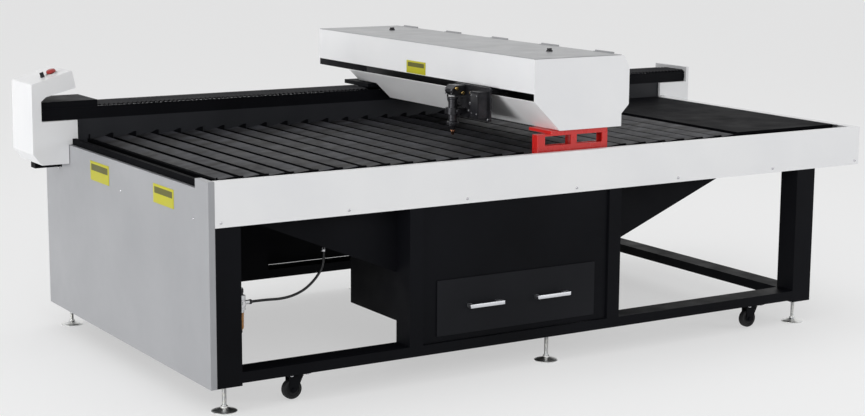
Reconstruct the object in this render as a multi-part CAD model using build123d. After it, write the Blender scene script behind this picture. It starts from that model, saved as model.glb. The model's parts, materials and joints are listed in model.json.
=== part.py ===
from build123d import *
import math
import os

os.makedirs("parts", exist_ok=True)

# Laser cutting machine with a 1300 by 2500 mm bed. All lengths are in millimetres.
# While it is drawn, X runs along the table from its left end, Y goes from the front
# skirt to the back and Z goes up from the floor. At the end everything is moved so
# that the middle of the machine's footprint is the origin.

# The table and its white covers.
table_length = 3100.0
table_width = 1640.0
table_height = 850.0
cover_sheet = 2.0
skirt_height = 166.0
skirt_lip = 25.0
end_lip = 40.0
cover_corner = 110.0
left_cover_depth = 25.0
left_cover_drop = 35.0
seam_gap = 0.5

# The welded frame of square and flat tube.
leg_size = 100.0
leg_wall = 4.0
leg_lift = 100.0
right_overhang = 255.0
rail_height = 40.0
rail_lift = 10.0
rail_wall = 3.0
post_size = 60.0
post_left = 800.0
cabinet_width = 994.0
frame_tube_height = 80.0
frame_drop = 70.0
bed_tube_width = 60.0

# Levelling feet and casters.
pad_radius = 47.5
pad_height = 14.0
stem_radius = 8.0
stem_clearance = 0.05
nut_width = 24.0
nut_height = 11.0
foot_middle = 1470.0
foot_inset = 50.0
stem_reach = 14.0
caster_left = 340.0
caster_right_inset = 550.0
wheel_radius = 38.0
wheel_width = 25.0
wheel_lift = 8.0
caster_trail = 18.0
fork_sheet = 3.0
fork_gap = 2.0
axle_radius = 5.0
axle_clearance = 0.08
swivel_radius = 24.0
caster_plate = 84.0
caster_plate_thickness = 4.0

# The bed: combs, slats, rim, deck and the wall behind it.
deck_length = 593.0
bed_front = 124.0
behind_bed = 270.0
comb_gap = 5.0
slat_first = 76.0
slat_pitch = 102.0
slat_thickness = 3.0
slat_width = 58.4
slat_tilt = 7.0
slat_drop = 8.0
comb_sheet = 4.0
comb_foot = 30.0
seat_clearance = 1.5
rear_tooth_rise = 11.0
rim_drop = 12.0
rim_width = 68.0
rim_outside = 8.0
rim_lip = 11.0
rim_sheet = 3.0
deck_drop = 2.0
deck_sheet = 2.0
wall_sheet = 2.0

# The raised rail at the back, its bellows, its cover and the console.
rear_rail_depth = 230.0
rear_rail_lift = 68.0
rear_rail_height = 49.0
rail_overhang = 138.0
rear_rail_wall = 3.0
groove_width = 122.0
groove_depth = 22.0
groove_inset = 14.0
guide_width = 20.0
guide_height = 15.0
guide_clearance = 0.5
end_block_length = 246.0
end_block_height = 28.0
bellows_height = 10.0
bellows_skin = 3.0
bellows_pitch = 17.0
bellows_gap = 0.5
cap_sheet = 16.0
cap_inside = 28.0
cap_below_table = 110.0
cap_above_rail = 23.0
console_ahead = 15.0
console_depth = 245.0
console_radius = 5.0
console_reach = 178.0
console_tip = 5.0
console_low_rise = 76.0
console_high_rise = 127.0
console_beak_rise = 55.0
console_beak_reach = 10.0
console_knee_rise = 23.0
console_knee_reach = 119.0
console_headroom = 5.0
console_chin = 46.0
console_clearance = 1.0

# The gantry. Its parts are placed from the hood's face, at the left of the gantry.
gantry_face = 1377.0
gantry_front = 30.0
hood_overhang = 195.0
hood_width = 463.0
hood_height = 285.0
hood_face_height = 135.0
hood_slot_height = 30.0
hood_back_height = 198.0
hood_chamfer_across = 30.0
hood_chamfer_down = 49.0
hood_step_across = 36.0
hood_sheet = 2.0
hood_return = 14.0
apron_across = 125.0
apron_gap = 22.0
apron_over = 13.0
end_plate_thickness = 3.0
lid_thickness = 2.0
lid_gap = 0.4
lid_inset = 3.0
lid_opening_edge = 30.0
hinge_radius = 4.0
knuckle_length = 120.0
knuckle_inset = 60.0
knuckle_count = 5
latch_radius = 13.0
latch_from_near = 256.0
latch_from_far = 250.0
latch_across = 250.0
strap_width = 26.0
strap_gap = 12.0
beam_across = 113.0
beam_width = 120.0
beam_height = 90.0
beam_wall = 4.0
beam_drop = 219.0
rib_first = 120.0
rib_pitch = 670.0
rib_from_back = 100.0
rib_thickness = 6.0
riser_across = 25.0
riser_width = 343.0
riser_setback = 10.0
riser_depth = 38.0
riser_plate = 6.0
riser_lift = 27.0
riser_height = 121.0
riser_foot_depth = 81.0
flange_across = 93.0
flange_depth = 160.0
flange_sheet = 12.0
neck_width = 170.0
neck_depth = 64.0
window_lift = 65.0
window_height = 38.0
window_left = 36.0
window_right = 28.0
window_middle = 29.0
block_length = 80.0
block_width = 44.0
front_guide_y = 68.0
carriage_plate = 17.0
tube_radius = 40.0
tube_front_room = 70.0
tube_back_room = 95.0
cradle_front = 300.0
cradle_back = 435.0
cradle_width = 24.0
cradle_base = 16.0
cradle_reach = 52.0

# The laser head on the gantry.
head_y = 400.0
head_width = 262.0
head_arm_thickness = 12.0
head_arm_reach = 48.0
head_plate_thickness = 8.0
head_plate_drop = 117.0
head_plate_rise = 19.0
head_guide_size = 12.0
focus_beside = 78.0
focus_across = 90.0
focus_radius = 19.0
focus_clearance = 0.06
clamp_lift = 14.0
clamp_height = 26.0
focus_rise = 87.0
nozzle_gap = 34.0
nozzle_height = 39.0
nozzle_radius = 4.0
head_block_half = 60.0
loop_drop = 3.0
loop_height = 74.0
loop_across = 56.0
loop_beside = 42.0

# The dust hopper, its cabinet and the drawer.
hopper_sheet = 2.0
hopper_left = 150.0
hopper_right_inset = 63.0
hopper_collar = 88.0
hopper_top_gap = 2.0
cabinet_back = 460.0
cabinet_lift = 85.0
cabinet_height = 189.0
cabinet_sheet = 2.0
face_lift = 2.0
face_setback = 10.0
drawer_width = 745.0
drawer_lift = 25.0
drawer_height = 218.0
drawer_depth = 410.0
drawer_sheet = 2.0
drawer_gap = 4.0
drawer_front_sheet = 4.0
tray_height = 130.0
runner_height = 6.0
handle_length = 158.0
handle_spacing = 316.0
handle_lift = 108.0
handle_reach = 30.0
handle_bar = 9.0

# The electrical cabinet at the back and the closing panel beside it.
electric_gap = 4.0
electric_width = 800.0
electric_depth = 234.0
electric_drop = 20.0
electric_sheet = 2.0
door_gap = 2.0
door_edge = 14.0
hinge_lug = 10.0
hinge_clearance = 0.05
vent_inset = 160.0
vent_width = 260.0
vent_height = 5.0
vent_pitch = 18.0
vent_drop = 232.0
vent_count = 8

# Air preparation on the front left leg.
regulator_y = 78.0
regulator_width = 34.0
regulator_top = 430.0
regulator_height = 68.0
bowl_radius = 15.0
bowl_height = 84.0
hose_diameter = 10.0

# Control buttons.
stop_radius = 20.0
stop_stem = 8.0
stop_along = 118.0
stop_back = 75.0
key_radius = 9.0
key_plug = 7.0
key_along = 76.0
key_back = 70.0
button_clearance = 0.08

# Screws of the skirt and the end cover.
screw_radius = 5.0
screw_head = 2.5
screw_first = 23.0
screw_pitch = 515.0
screw_lift = 18.0
end_screw_first = 130.0
end_screw_last_inset = 148.0

# Places that follow from the sizes above: the table and its frame.
frame_front = cover_sheet
frame_back = table_width - cover_sheet
frame_top = table_height - frame_drop
leg_top = frame_top - frame_tube_height
rail_bottom = leg_lift + rail_lift
rail_top = rail_bottom + rail_height
right_leg = table_length - right_overhang - leg_size
skirt_bottom = table_height - skirt_height
left_cover_top = table_height - left_cover_drop
post_right = post_left + cabinet_width - post_size
caster_right = table_length - caster_right_inset
wheel_height = wheel_lift + wheel_radius
frame_row_front = frame_front + foot_inset
frame_row_back = frame_back - foot_inset
screw_height = skirt_bottom + screw_lift

# The bed and what closes it.
bed_right = table_length - deck_length
bed_back = table_width - behind_bed
slat_count = 1 + int((bed_right - slat_first - slat_width) / slat_pitch)
slat_top = table_height - slat_drop
front_tooth_top = slat_top
rear_tooth_top = slat_top + rear_tooth_rise
rim_top = table_height - rim_drop
rim_right = rim_width - rim_outside
deck_top = table_height - deck_drop

# The raised rail at the back and the console on it.
rear_rail_left = -rail_overhang
rear_rail_right = table_length + rail_overhang
rear_rail_bottom = table_height + rear_rail_lift
rear_rail_top = rear_rail_bottom + rear_rail_height
rail_back = bed_back + rear_rail_depth
groove_front = bed_back + groove_inset
groove_middle = groove_front + groove_width / 2
groove_floor = rear_rail_top - groove_depth
cap_left = table_length - cap_inside
cap_bottom = table_height - cap_below_table
cap_top = rear_rail_top + cap_above_rail
end_block_top = rear_rail_top + end_block_height
console_front = bed_back - console_ahead
console_seat = leg_top + 38
console_low = end_block_top + console_low_rise
console_high = end_block_top + console_high_rise

# The gantry and its head.
riser_front = gantry_front + riser_setback
riser_left = gantry_face + riser_across
riser_right = riser_left + riser_width
riser_bottom = frame_top + riser_lift
window_bottom = riser_bottom + window_lift
neck_left = gantry_face + beam_across + 14
gantry_end = rail_back + hood_overhang
hood_bottom = riser_bottom + riser_height + hood_sheet
hood_top = hood_bottom + hood_height
hood_slot_top = hood_top - hood_face_height
hood_slot_bottom = hood_slot_top - hood_slot_height
hood_step_top = hood_top - hood_back_height
slot_middle = (hood_slot_top + hood_slot_bottom) / 2
apron_end = bed_back - apron_gap
apron_tail_end = rail_back + apron_over
beam_bottom = hood_top - beam_drop
beam_top = beam_bottom + beam_height
rib_places = (gantry_front + rib_first, gantry_front + rib_first + rib_pitch, rail_back - rib_from_back)
tube_length = gantry_end - tube_back_room - gantry_front - tube_front_room
near_strap = gantry_front + latch_from_near - strap_gap - strap_width
far_strap = gantry_end - latch_from_far + strap_gap
head_plate_bottom = slot_middle - head_plate_drop
head_plate_top = slot_middle + head_plate_rise
clamp_bottom = head_plate_bottom + clamp_lift
focus_y = head_y + focus_beside
focus_top = head_plate_bottom + focus_rise
nozzle_tip = slat_top + nozzle_gap
nozzle_top = nozzle_tip + nozzle_height
loop_x = gantry_face - loop_across
loop_y = focus_y + loop_beside
loop_high = slot_middle - loop_drop
loop_low = loop_high - loop_height

# The hopper, the cabinets and the drawer.
hopper_front = frame_front + leg_size
hopper_back = bed_back
hopper_right = bed_right - hopper_right_inset
hopper_top = frame_top - hopper_top_gap
hopper_knee = hopper_top - hopper_collar
cabinet_bottom = rail_top + cabinet_lift
hopper_mouth = cabinet_bottom + cabinet_height
face_bottom = rail_top + face_lift
drawer_bottom = rail_top + drawer_lift
drawer_top = drawer_bottom + drawer_height
handle_height = drawer_bottom + handle_lift
electric_left = leg_size + electric_gap
electric_top = leg_top - electric_drop
rear_post = electric_left + electric_width + 2

nodes = {}


def box(x0, x1, y0, y1, z0, z1):
    middle = ((x0 + x1) / 2, (y0 + y1) / 2, (z0 + z1) / 2)
    return Pos(*middle) * Box(x1 - x0, y1 - y0, z1 - z0)


def upright(radius, x, y, z0, z1):
    return Pos(x, y, (z0 + z1) / 2) * Cylinder(radius, z1 - z0)


def bar_along_x(radius, y, z, x0, x1):
    return Pos((x0 + x1) / 2, y, z) * Rot(0, 90, 0) * Cylinder(radius, x1 - x0)


def bar_along_y(radius, x, z, y0, y1):
    return Pos(x, (y0 + y1) / 2, z) * Rot(90, 0, 0) * Cylinder(radius, y1 - y0)


def facing_front(y):
    return Plane((0, y, 0), x_dir=(1, 0, 0), z_dir=(0, -1, 0))


def facing_right(x):
    return Plane((x, 0, 0), x_dir=(0, 1, 0), z_dir=(1, 0, 0))


def prism_along_y(points, y0, y1):
    face = make_face(Polyline(*points, close=True))
    return extrude(facing_front(y0) * face, amount=-(y1 - y0))


def prism_along_x(points, x0, x1):
    face = make_face(Polyline(*points, close=True))
    return extrude(facing_right(x0) * face, amount=x1 - x0)


def folded(points, sheet, inner_side):
    """The outline of a folded sheet whose outer skin runs through the points."""
    skin = Polyline(*points)
    outline = offset(skin, amount=sheet, side=inner_side, kind=Kind.INTERSECTION, closed=True)
    return make_face(outline.edges())


def folded_along_y(points, sheet, inner_side, y0, y1):
    return extrude(facing_front(y0) * folded(points, sheet, inner_side), amount=-(y1 - y0))


def folded_along_x(points, sheet, inner_side, x0, x1):
    return extrude(facing_right(x0) * folded(points, sheet, inner_side), amount=x1 - x0)


def tube_along_x(x0, x1, y0, y1, z0, z1, wall):
    hollow = box(x0, x1, y0 + wall, y1 - wall, z0 + wall, z1 - wall)
    return box(x0, x1, y0, y1, z0, z1) - hollow


def tube_along_y(x0, x1, y0, y1, z0, z1, wall):
    hollow = box(x0 + wall, x1 - wall, y0, y1, z0 + wall, z1 - wall)
    return box(x0, x1, y0, y1, z0, z1) - hollow


def standing_tube(x0, y0, size_x, size_y, z0, z1, wall, floor):
    """An upright tube, closed below by a plate as thick as its floor value."""
    hollow = box(x0 + wall, x0 + size_x - wall, y0 + wall, y0 + size_y - wall, z0 + floor, z1)
    return box(x0, x0 + size_x, y0, y0 + size_y, z0, z1) - hollow


def frame_feet():
    """The six places of the levelling feet: name, x, y and the height of the tube above."""
    rows = (("front", frame_row_front), ("rear", frame_row_back))
    places = []
    for row, y in rows:
        places.append((row + "_left", foot_inset, y, leg_lift))
        places.append((row + "_middle", foot_middle, y, rail_bottom))
        places.append((row + "_right", right_leg + leg_size - foot_inset, y, leg_lift))
    return places


def caster_places():
    rows = (("front", frame_row_front), ("rear", frame_row_back))
    places = []
    for row, y in rows:
        places.append((row + "_left", caster_left, y))
        places.append((row + "_right", caster_right, y))
    return places


def stem_holes(solid):
    for name, x, y, seat in frame_feet():
        solid = solid - upright(stem_radius + stem_clearance, x, y, seat - 1, seat + leg_wall + 1)
    return solid


def make_legs():
    """Four legs and four posts of square tube."""
    pieces = []
    for x in (0.0, right_leg):
        for y in (frame_front, frame_back - leg_size):
            leg = standing_tube(x, y, leg_size, leg_size, leg_lift, leg_top, leg_wall, leg_wall)
            pieces.append(stem_holes(leg))
    rear_row = frame_back - leg_size
    posts = [(post_left, frame_front), (post_right, frame_front)]
    posts += [(rear_post, rear_row), (post_right, rear_row)]
    for x, y in posts:
        pieces.append(standing_tube(x, y, post_size, leg_size, rail_top, leg_top, rail_wall, rail_wall))
    return pieces


def make_bottom_rails():
    """Flat tube between the legs, with the top plates of the casters welded below."""
    pieces = []
    for y in (frame_front, frame_back - leg_size):
        rail = tube_along_x(leg_size, right_leg, y, y + leg_size, rail_bottom, rail_top, rail_wall)
        pieces.append(stem_holes(rail))
    for x in (0.0, right_leg):
        y0 = frame_front + leg_size
        y1 = frame_back - leg_size
        pieces.append(tube_along_y(x, x + leg_size, y0, y1, rail_bottom, rail_top, rail_wall))
    half = caster_plate / 2
    for name, x, y in caster_places():
        z0 = rail_bottom - caster_plate_thickness
        pieces.append(box(x - half, x + half, y - half, y + half, z0, rail_bottom))
    return pieces


def make_table_frame():
    """Tubes that carry the bed, and the short arm below the console."""
    z0 = leg_top
    z1 = frame_top
    wall = rail_wall
    right = table_length - cover_sheet - seam_gap
    inner_front = frame_front + leg_size
    inner_back = frame_back - leg_size
    beyond = bed_right + bed_tube_width
    behind = bed_back + bed_tube_width
    pieces = []
    pieces.append(tube_along_x(0, right, frame_front + cover_sheet, inner_front, z0, z1, wall))
    pieces.append(tube_along_x(0, right, inner_back, frame_back, z0, z1, wall))
    pieces.append(tube_along_y(0, leg_size, inner_front, inner_back, z0, z1, wall))
    pieces.append(tube_along_y(bed_right, beyond, inner_front, inner_back, z0, z1, wall))
    pieces.append(tube_along_y(right - leg_size, right, inner_front, inner_back, z0, z1, wall))
    pieces.append(tube_along_x(leg_size, bed_right, bed_back, behind, z0, z1, wall))
    pieces.append(tube_along_x(beyond, right - leg_size, bed_back, behind, z0, z1, wall))
    arm_y = console_front + console_depth / 2
    arm_left = rear_rail_left - 2 * console_clearance
    pieces.append(box(arm_left, 0, arm_y - 25, arm_y + 25, console_seat - 25, console_seat))
    return pieces


def make_front_skirt():
    """Long front cover: one sheet with a lip folded inwards along its top."""
    points = [(0, skirt_bottom), (0, table_height), (skirt_lip, table_height)]
    sheet = folded_along_x(points, cover_sheet, Side.RIGHT, 0, table_length)
    corner = edges_near(sheet, 0, table_height)
    return fillet(corner, 1.5)


def edges_near(solid, y, z):
    """The long edges of a sheet that lie at one height and depth."""
    found = [e for e in solid.edges().filter_by(Axis.X) if abs(e.center().Y - y) < 0.01]
    return [e for e in found if abs(e.center().Z - z) < 0.01]


def make_left_end_cover():
    """Tray of folded sheet over the left end, lower where sheets pass over it."""
    x0 = -left_cover_depth
    body = box(x0, -seam_gap, 0, table_width, leg_lift, left_cover_top)
    body += box(x0, -seam_gap, 0, cover_corner, left_cover_top, table_height)
    inside = box(x0 + cover_sheet, 0, cover_sheet, table_width - cover_sheet,
                 leg_lift + cover_sheet, left_cover_top - cover_sheet)
    inside += box(x0 + cover_sheet, 0, cover_sheet, cover_corner - cover_sheet,
                  left_cover_top - cover_sheet - 1, table_height - cover_sheet)
    cover = body - inside
    arm_y = console_front + console_depth / 2
    slot = box(x0 - 1, 1, arm_y - 27, arm_y + 27, console_seat - 27, console_seat + 2)
    outer = [e for e in cover.edges().filter_by(Axis.Z) if abs(e.center().X - x0) < 0.01]
    outer = [e for e in outer if e.center().Y < 1 or e.center().Y > table_width - 1]
    return fillet(outer, 1.5) - slot


def make_right_end_skirt():
    """Short skirt over the right end with a lip that meets the deck."""
    x1 = table_length
    points = [(x1, skirt_bottom), (x1, table_height), (x1 - end_lip, table_height)]
    y0 = skirt_lip + seam_gap
    sheet = folded_along_y(points, cover_sheet, Side.LEFT, cover_sheet, frame_back)
    lip_end = box(x1 - end_lip - 1, x1 + 1, 0, y0, table_height - cover_sheet, table_height + 1)
    rail_room = box(x1 - end_lip - 1, x1 - cover_sheet, bed_back - 20, frame_back + 1,
                    table_height - cover_sheet - 0.5, table_height + 1)
    return sheet - lip_end - rail_room


def make_rear_skirt():
    """Rear cover, folded over the table and up to the rail beam."""
    back = table_width
    wall = rail_back + seam_gap + cover_sheet
    points = [(back, skirt_bottom), (back, table_height), (wall, table_height), (wall, rear_rail_bottom)]
    return folded_along_x(points, cover_sheet, Side.LEFT, 0, table_length - cover_sheet - seam_gap)


def make_right_deck():
    """Flat deck at the right end of the bed, where the gantry parks."""
    x1 = table_length - end_lip - seam_gap
    y0 = bed_front + comb_sheet
    y1 = bed_back - seam_gap
    outer = box(bed_right, x1, y0, y1, frame_top, deck_top)
    inner = box(bed_right + deck_sheet, x1 - deck_sheet, y0 + deck_sheet, y1 - deck_sheet,
                frame_top - 1, deck_top - deck_sheet)
    return outer - inner


def make_bed_rim():
    """Trough of folded sheet along the bed's left edge, with a lip over the end cover."""
    x0 = -rim_outside
    x1 = x0 + rim_width
    inner = x0 + rim_lip
    floor = frame_top + rim_sheet
    points = [(x0, left_cover_top + 1), (x0, rim_top), (inner, rim_top), (inner, floor),
              (x1 - rim_sheet, floor), (x1 - rim_sheet, rim_top)]
    return folded_along_y(points, rim_sheet, Side.RIGHT, cover_corner + seam_gap, console_front - seam_gap)


def slat_places():
    return [slat_first + i * slat_pitch for i in range(slat_count)]


tilt = math.radians(slat_tilt)
slat_run = slat_width * math.cos(tilt)
slat_rise = slat_width * math.sin(tilt)
seat_top = slat_top - slat_thickness / math.cos(tilt)


def comb(front_face, tooth_top):
    """Angle with a sloping seat for each slat and a tooth behind each slat's high edge."""
    y0 = front_face
    y1 = front_face + comb_sheet
    x0 = rim_right + comb_gap
    x1 = bed_right - seam_gap
    plate = box(x0, x1, y0, y1, frame_top, tooth_top)
    plate += box(x0, x1, y0 - comb_foot, y1, frame_top, frame_top + comb_sheet)
    rise = math.tan(tilt)
    seats = []
    for x in slat_places():
        low = x - 6
        high = x + slat_run + seat_clearance
        next_low = low + slat_pitch
        outline = [(low, seat_top - slat_rise - 6 * rise), (high, seat_top + seat_clearance * rise),
                   (high, slat_top - 0.5), (next_low - 9, tooth_top), (next_low - 9, tooth_top + 1),
                   (low, tooth_top + 1)]
        seats.append(prism_along_y(outline, y0 - 1, y1 + 1))
    return plate - seats


def make_bed_slats():
    """Flat steel strips that lie at a slant on the seats of the combs."""
    y0 = bed_front - 1
    y1 = bed_back - seam_gap
    middle_z = slat_top - slat_rise / 2 - slat_thickness / (2 * math.cos(tilt)) + 0.02
    strip = Rot(0, -slat_tilt, 0) * Box(slat_width, y1 - y0, slat_thickness)
    slats = []
    for x in slat_places():
        slats.append(Pos(x + slat_run / 2, (y0 + y1) / 2, middle_z) * strip)
    return slats


def make_rear_wall():
    """Dark sheet behind the bed that also carries the rail beam."""
    front = bed_back
    back = bed_back + rear_rail_depth
    points = [(front, frame_top), (front, rear_rail_bottom), (back, rear_rail_bottom), (back, table_height)]
    return folded_along_x(points, wall_sheet, Side.RIGHT, 0, table_length - cover_sheet - seam_gap)


def make_rear_rail_beam():
    """Black box beam with a groove in its top, and the block that ends the groove."""
    front = bed_back
    back = bed_back + rear_rail_depth
    beam = box(rear_rail_left, rear_rail_right, front, back, rear_rail_bottom, rear_rail_top)
    beam -= box(rear_rail_left - 1, rear_rail_right + 1, front + rear_rail_wall, back - rear_rail_wall,
                rear_rail_bottom + rear_rail_wall, groove_floor - rear_rail_wall)
    beam -= box(rear_rail_left - 1, rear_rail_right + 1, groove_front, groove_front + groove_width,
                groove_floor, rear_rail_top + 1)
    x1 = rear_rail_left + end_block_length
    block = box(rear_rail_left, x1, front + 2, back - 2, rear_rail_top, rear_rail_top + end_block_height)
    return [beam, block]


def make_guide_rails():
    """Ground steel rails: one on the front tube, one in the groove of the rear beam."""
    half = guide_width / 2
    rails = []
    x1 = table_length - cover_sheet - 30
    for y, z, x0 in ((front_guide_y, frame_top, 30.0), (groove_middle, groove_floor, 30.0)):
        rail = box(x0, x1, y - half, y + half, z, z + guide_height)
        waist = box(x0 - 1, x1 + 1, y - half - 1, y - half + 3, z + 5, z + 10)
        rail -= waist
        rail -= mirror(waist, about=Plane((0, y, 0), z_dir=(0, 1, 0)))
        rails.append(rail)
    return rails


def bellows(x0, x1):
    """Folded cover over the groove: a ridge for each fold, shallow valleys between."""
    count = max(2, round((x1 - x0) / bellows_pitch))
    pitch = (x1 - x0) / count
    base = rear_rail_top
    top = base + bellows_height
    points = [(x0, base), (x0, base + bellows_skin)]
    for i in range(count):
        left = x0 + i * pitch
        points.append((left + pitch / 2, top))
        points.append((left + pitch, base + bellows_skin))
    points.append((x1, base))
    y0 = groove_front - 8
    y1 = groove_front + groove_width + 8
    return prism_along_y(points, y0, y1)


def make_rail_end_cap():
    """White cover on the right end of the rail beam, a box below and a plate beyond it."""
    x1 = rear_rail_right + cap_sheet
    step = table_length + 2
    lift = table_height + 2
    gap = rear_rail_bottom - 1
    outline = [(step, cap_bottom), (x1, cap_bottom), (x1, cap_top), (rear_rail_right, cap_top),
               (rear_rail_right, gap), (cap_left, gap), (cap_left, lift), (step, lift)]
    cap = prism_along_y(outline, console_front, console_front + console_depth)
    skirt_room = box(cap_left - 1, step, bed_back - 1, table_width, lift - 1, gap + 1)
    cap -= skirt_room
    hollow = box(step + cover_sheet, x1 - cover_sheet, console_front + cover_sheet,
                 console_front + console_depth - cover_sheet, cap_bottom - 1, gap - cover_sheet)
    return cap - hollow


def console_outline():
    slot_left = rear_rail_left - 2 * console_clearance
    slot_bottom = rear_rail_bottom - console_clearance
    lip = console_beak_reach + 3
    cover_side = -left_cover_depth - 2
    return [(-console_reach, console_low), (-console_tip, console_high),
            (console_beak_reach, end_block_top + console_beak_rise),
            (-console_knee_reach, end_block_top + console_knee_rise),
            (slot_left, end_block_top + console_headroom), (slot_left, slot_bottom), (lip, slot_bottom),
            (lip, left_cover_top + 2), (cover_side, left_cover_top + 2), (cover_side, console_seat),
            (slot_left - 3, console_seat), (-console_reach - 2, console_seat + console_chin)]


def incline():
    """Unit vector up the sloping top of the console, and the slope's angle."""
    across = console_reach - console_tip
    rise = console_high - console_low
    return math.atan2(rise, across)


def on_console_top(along, y):
    """A point on the console's sloping top, and the plane that lies in it there."""
    angle = incline()
    x = -console_reach + along * math.cos(angle)
    z = console_low + along * math.sin(angle)
    normal = (-math.sin(angle), 0, math.cos(angle))
    return Plane((x, y, z), x_dir=(math.cos(angle), 0, math.sin(angle)), z_dir=normal)


stop_plane = on_console_top(stop_along, console_front + stop_back)
key_plane = on_console_top(key_along, console_front + key_back)


def make_console():
    """Moulded looking sheet housing that clasps the end of the rail beam."""
    y1 = console_front + console_depth
    shell = prism_along_y(console_outline(), console_front, y1)
    behind = box(-left_cover_depth - 3, 14, bed_back - 1.5, y1 + 1, left_cover_top, rear_rail_bottom + 0.5)
    shell -= behind
    along = shell.edges().filter_by(Axis.Y)
    beak = end_block_top + console_beak_rise
    sharp = [e for e in along if e.center().X < -console_reach + 1 or e.center().Z > beak - 1]
    shell = fillet(sharp, console_radius)
    inner = offset(make_face(Polyline(*console_outline(), close=True)), amount=-cover_sheet)
    depth = console_depth - 2 * cover_sheet
    hollow = extrude(facing_front(console_front + cover_sheet) * inner, amount=-depth)
    hollow -= box(-left_cover_depth - 5, 16, bed_back - 3.5, y1 + 1,
                  left_cover_top - 2, rear_rail_bottom + 2)
    shell -= hollow
    shell -= box(-128, -60, console_front + 20, console_front + 80, console_seat - 1,
                 console_seat + cover_sheet + 1)
    shell -= stop_plane * Pos(0, 0, -15) * Cylinder(stop_stem + button_clearance, 40)
    shell -= key_plane * Pos(0, 0, -8) * Cylinder(key_plug + button_clearance, 30)
    return shell


def make_stop_button():
    """Emergency stop: mushroom head on its stem."""
    profile = Polyline((0, 4.5), (stop_radius - 4, 4.5), (stop_radius, 7), (stop_radius, 13),
                       (stop_radius - 3, 17.5), (stop_radius - 9, 20), (0, 20.5))
    head = revolve(Plane.XZ * make_face(profile + Line((0, 20.5), (0, 4.5))), Axis.Z)
    stem = Pos(0, 0, -2.5) * Cylinder(stop_stem, 15)
    return stop_plane * (head + stem)


def make_key_switch():
    """Key switch: a round barrel with the key's grip standing in it."""
    barrel = Pos(0, 0, 4) * Cylinder(key_radius, 7)
    stem = Pos(0, 0, -3) * Cylinder(key_plug, 12)
    grip = Pos(0, 0, 14) * Box(16, 3, 14)
    return key_plane * (barrel + stem + grip)


def make_caster_fork(x, y):
    """Swivel head and the two cheeks that carry the wheel's axle behind it."""
    top = rail_bottom - caster_plate_thickness
    head = upright(swivel_radius, x, y, top - 9, top - 0.4)
    inner = wheel_width / 2 + fork_gap
    axle_x = x - caster_trail
    under = top - 9
    crown_left = axle_x - 17
    crown = box(crown_left, x + swivel_radius, y - inner - fork_sheet, y + inner + fork_sheet,
                under - fork_sheet, under)
    fork = head + crown
    for side in (-1, 1):
        y0 = y + side * (inner + fork_sheet / 2) - fork_sheet / 2
        points = [(crown_left, under), (axle_x - 13, wheel_height - 8), (axle_x + 13, wheel_height - 8),
                  (x + swivel_radius, under)]
        fork += prism_along_y(points, y0, y0 + fork_sheet)
        fork += bar_along_y(13, axle_x, wheel_height, y0, y0 + fork_sheet)
    reach = inner + fork_sheet + 3
    axle = bar_along_y(axle_radius, axle_x, wheel_height, y - reach, y + reach)
    return fork + axle


def make_caster_wheel(x, y):
    """Wheel with a rounded tread, a recessed disc and a bored hub."""
    half = wheel_width / 2
    hub = half + fork_gap - 0.5
    bore = axle_radius + axle_clearance
    profile = Polyline((bore, -hub), (11, -hub), (12, -half + 4), (26, -half + 4), (28, -half),
                       (wheel_radius - 3, -half), (wheel_radius, -half + 4), (wheel_radius, half - 4),
                       (wheel_radius - 3, half), (28, half), (26, half - 4), (12, half - 4), (11, hub),
                       (bore, hub), close=True)
    wheel = revolve(Plane.XZ * make_face(profile), Axis.Z)
    return Pos(x - caster_trail, y, wheel_height) * Rot(90, 0, 0) * wheel


def make_foot(x, y, seat):
    """Levelling foot: domed pad, threaded stem and lock nut."""
    pad = Polyline((0, 0), (pad_radius, 0), (pad_radius, 5), (pad_radius - 14, 9),
                   (18, pad_height), (13, pad_height + 8), (0, pad_height + 8))
    solid = revolve(Plane.XZ * make_face(pad + Line((0, pad_height + 8), (0, 0))), Axis.Z)
    solid = Pos(x, y, 0) * solid
    stem = upright(stem_radius, x, y, pad_height, seat + stem_reach)
    nut = extrude(RegularPolygon(nut_width / 2, 6, major_radius=False), nut_height)
    return solid + stem + Pos(x, y, seat - nut_height - 0.4) * nut


def rectangle(x0, x1, y0, y1, z):
    return Pos((x0 + x1) / 2, (y0 + y1) / 2, z) * Rectangle(x1 - x0, y1 - y0)


def make_hopper():
    """Funnel of welded sheets under the slats: an upright collar above four leaning walls."""
    t = hopper_sheet
    left = hopper_left
    right = hopper_right
    front = hopper_front
    back = hopper_back
    mouth_left = post_left + cabinet_sheet
    mouth_right = post_left + cabinet_width - cabinet_sheet
    mouth_back = cabinet_back - cabinet_sheet
    low = hopper_mouth
    knee = hopper_knee
    walls = []
    walls.append(box(left, left + t, front, back, knee, hopper_top))
    walls.append(box(right - t, right, front, back, knee, hopper_top))
    walls.append(box(left + t, right - t, front, front + t, knee, hopper_top))
    walls.append(box(left + t, right - t, back - t, back, knee, hopper_top))
    walls.append(loft([rectangle(mouth_left, mouth_left + t, front, mouth_back, low),
                       rectangle(left, left + t, front, back, knee)]))
    walls.append(loft([rectangle(mouth_right - t, mouth_right, front, mouth_back, low),
                       rectangle(right - t, right, front, back, knee)]))
    walls.append(loft([rectangle(mouth_left + t, mouth_right - t, front, front + t, low),
                       rectangle(left + t, right - t, front, front + t, knee)]))
    walls.append(loft([rectangle(mouth_left + t, mouth_right - t, mouth_back - t, mouth_back, low),
                       rectangle(left + t, right - t, back - t, back, knee)]))
    x, y, z = air_route[-1]
    fitting = upright(hose_diameter / 2 + 3, x, y, z, z + 26) - walls[4]
    walls.append(fitting)
    return walls


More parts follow.
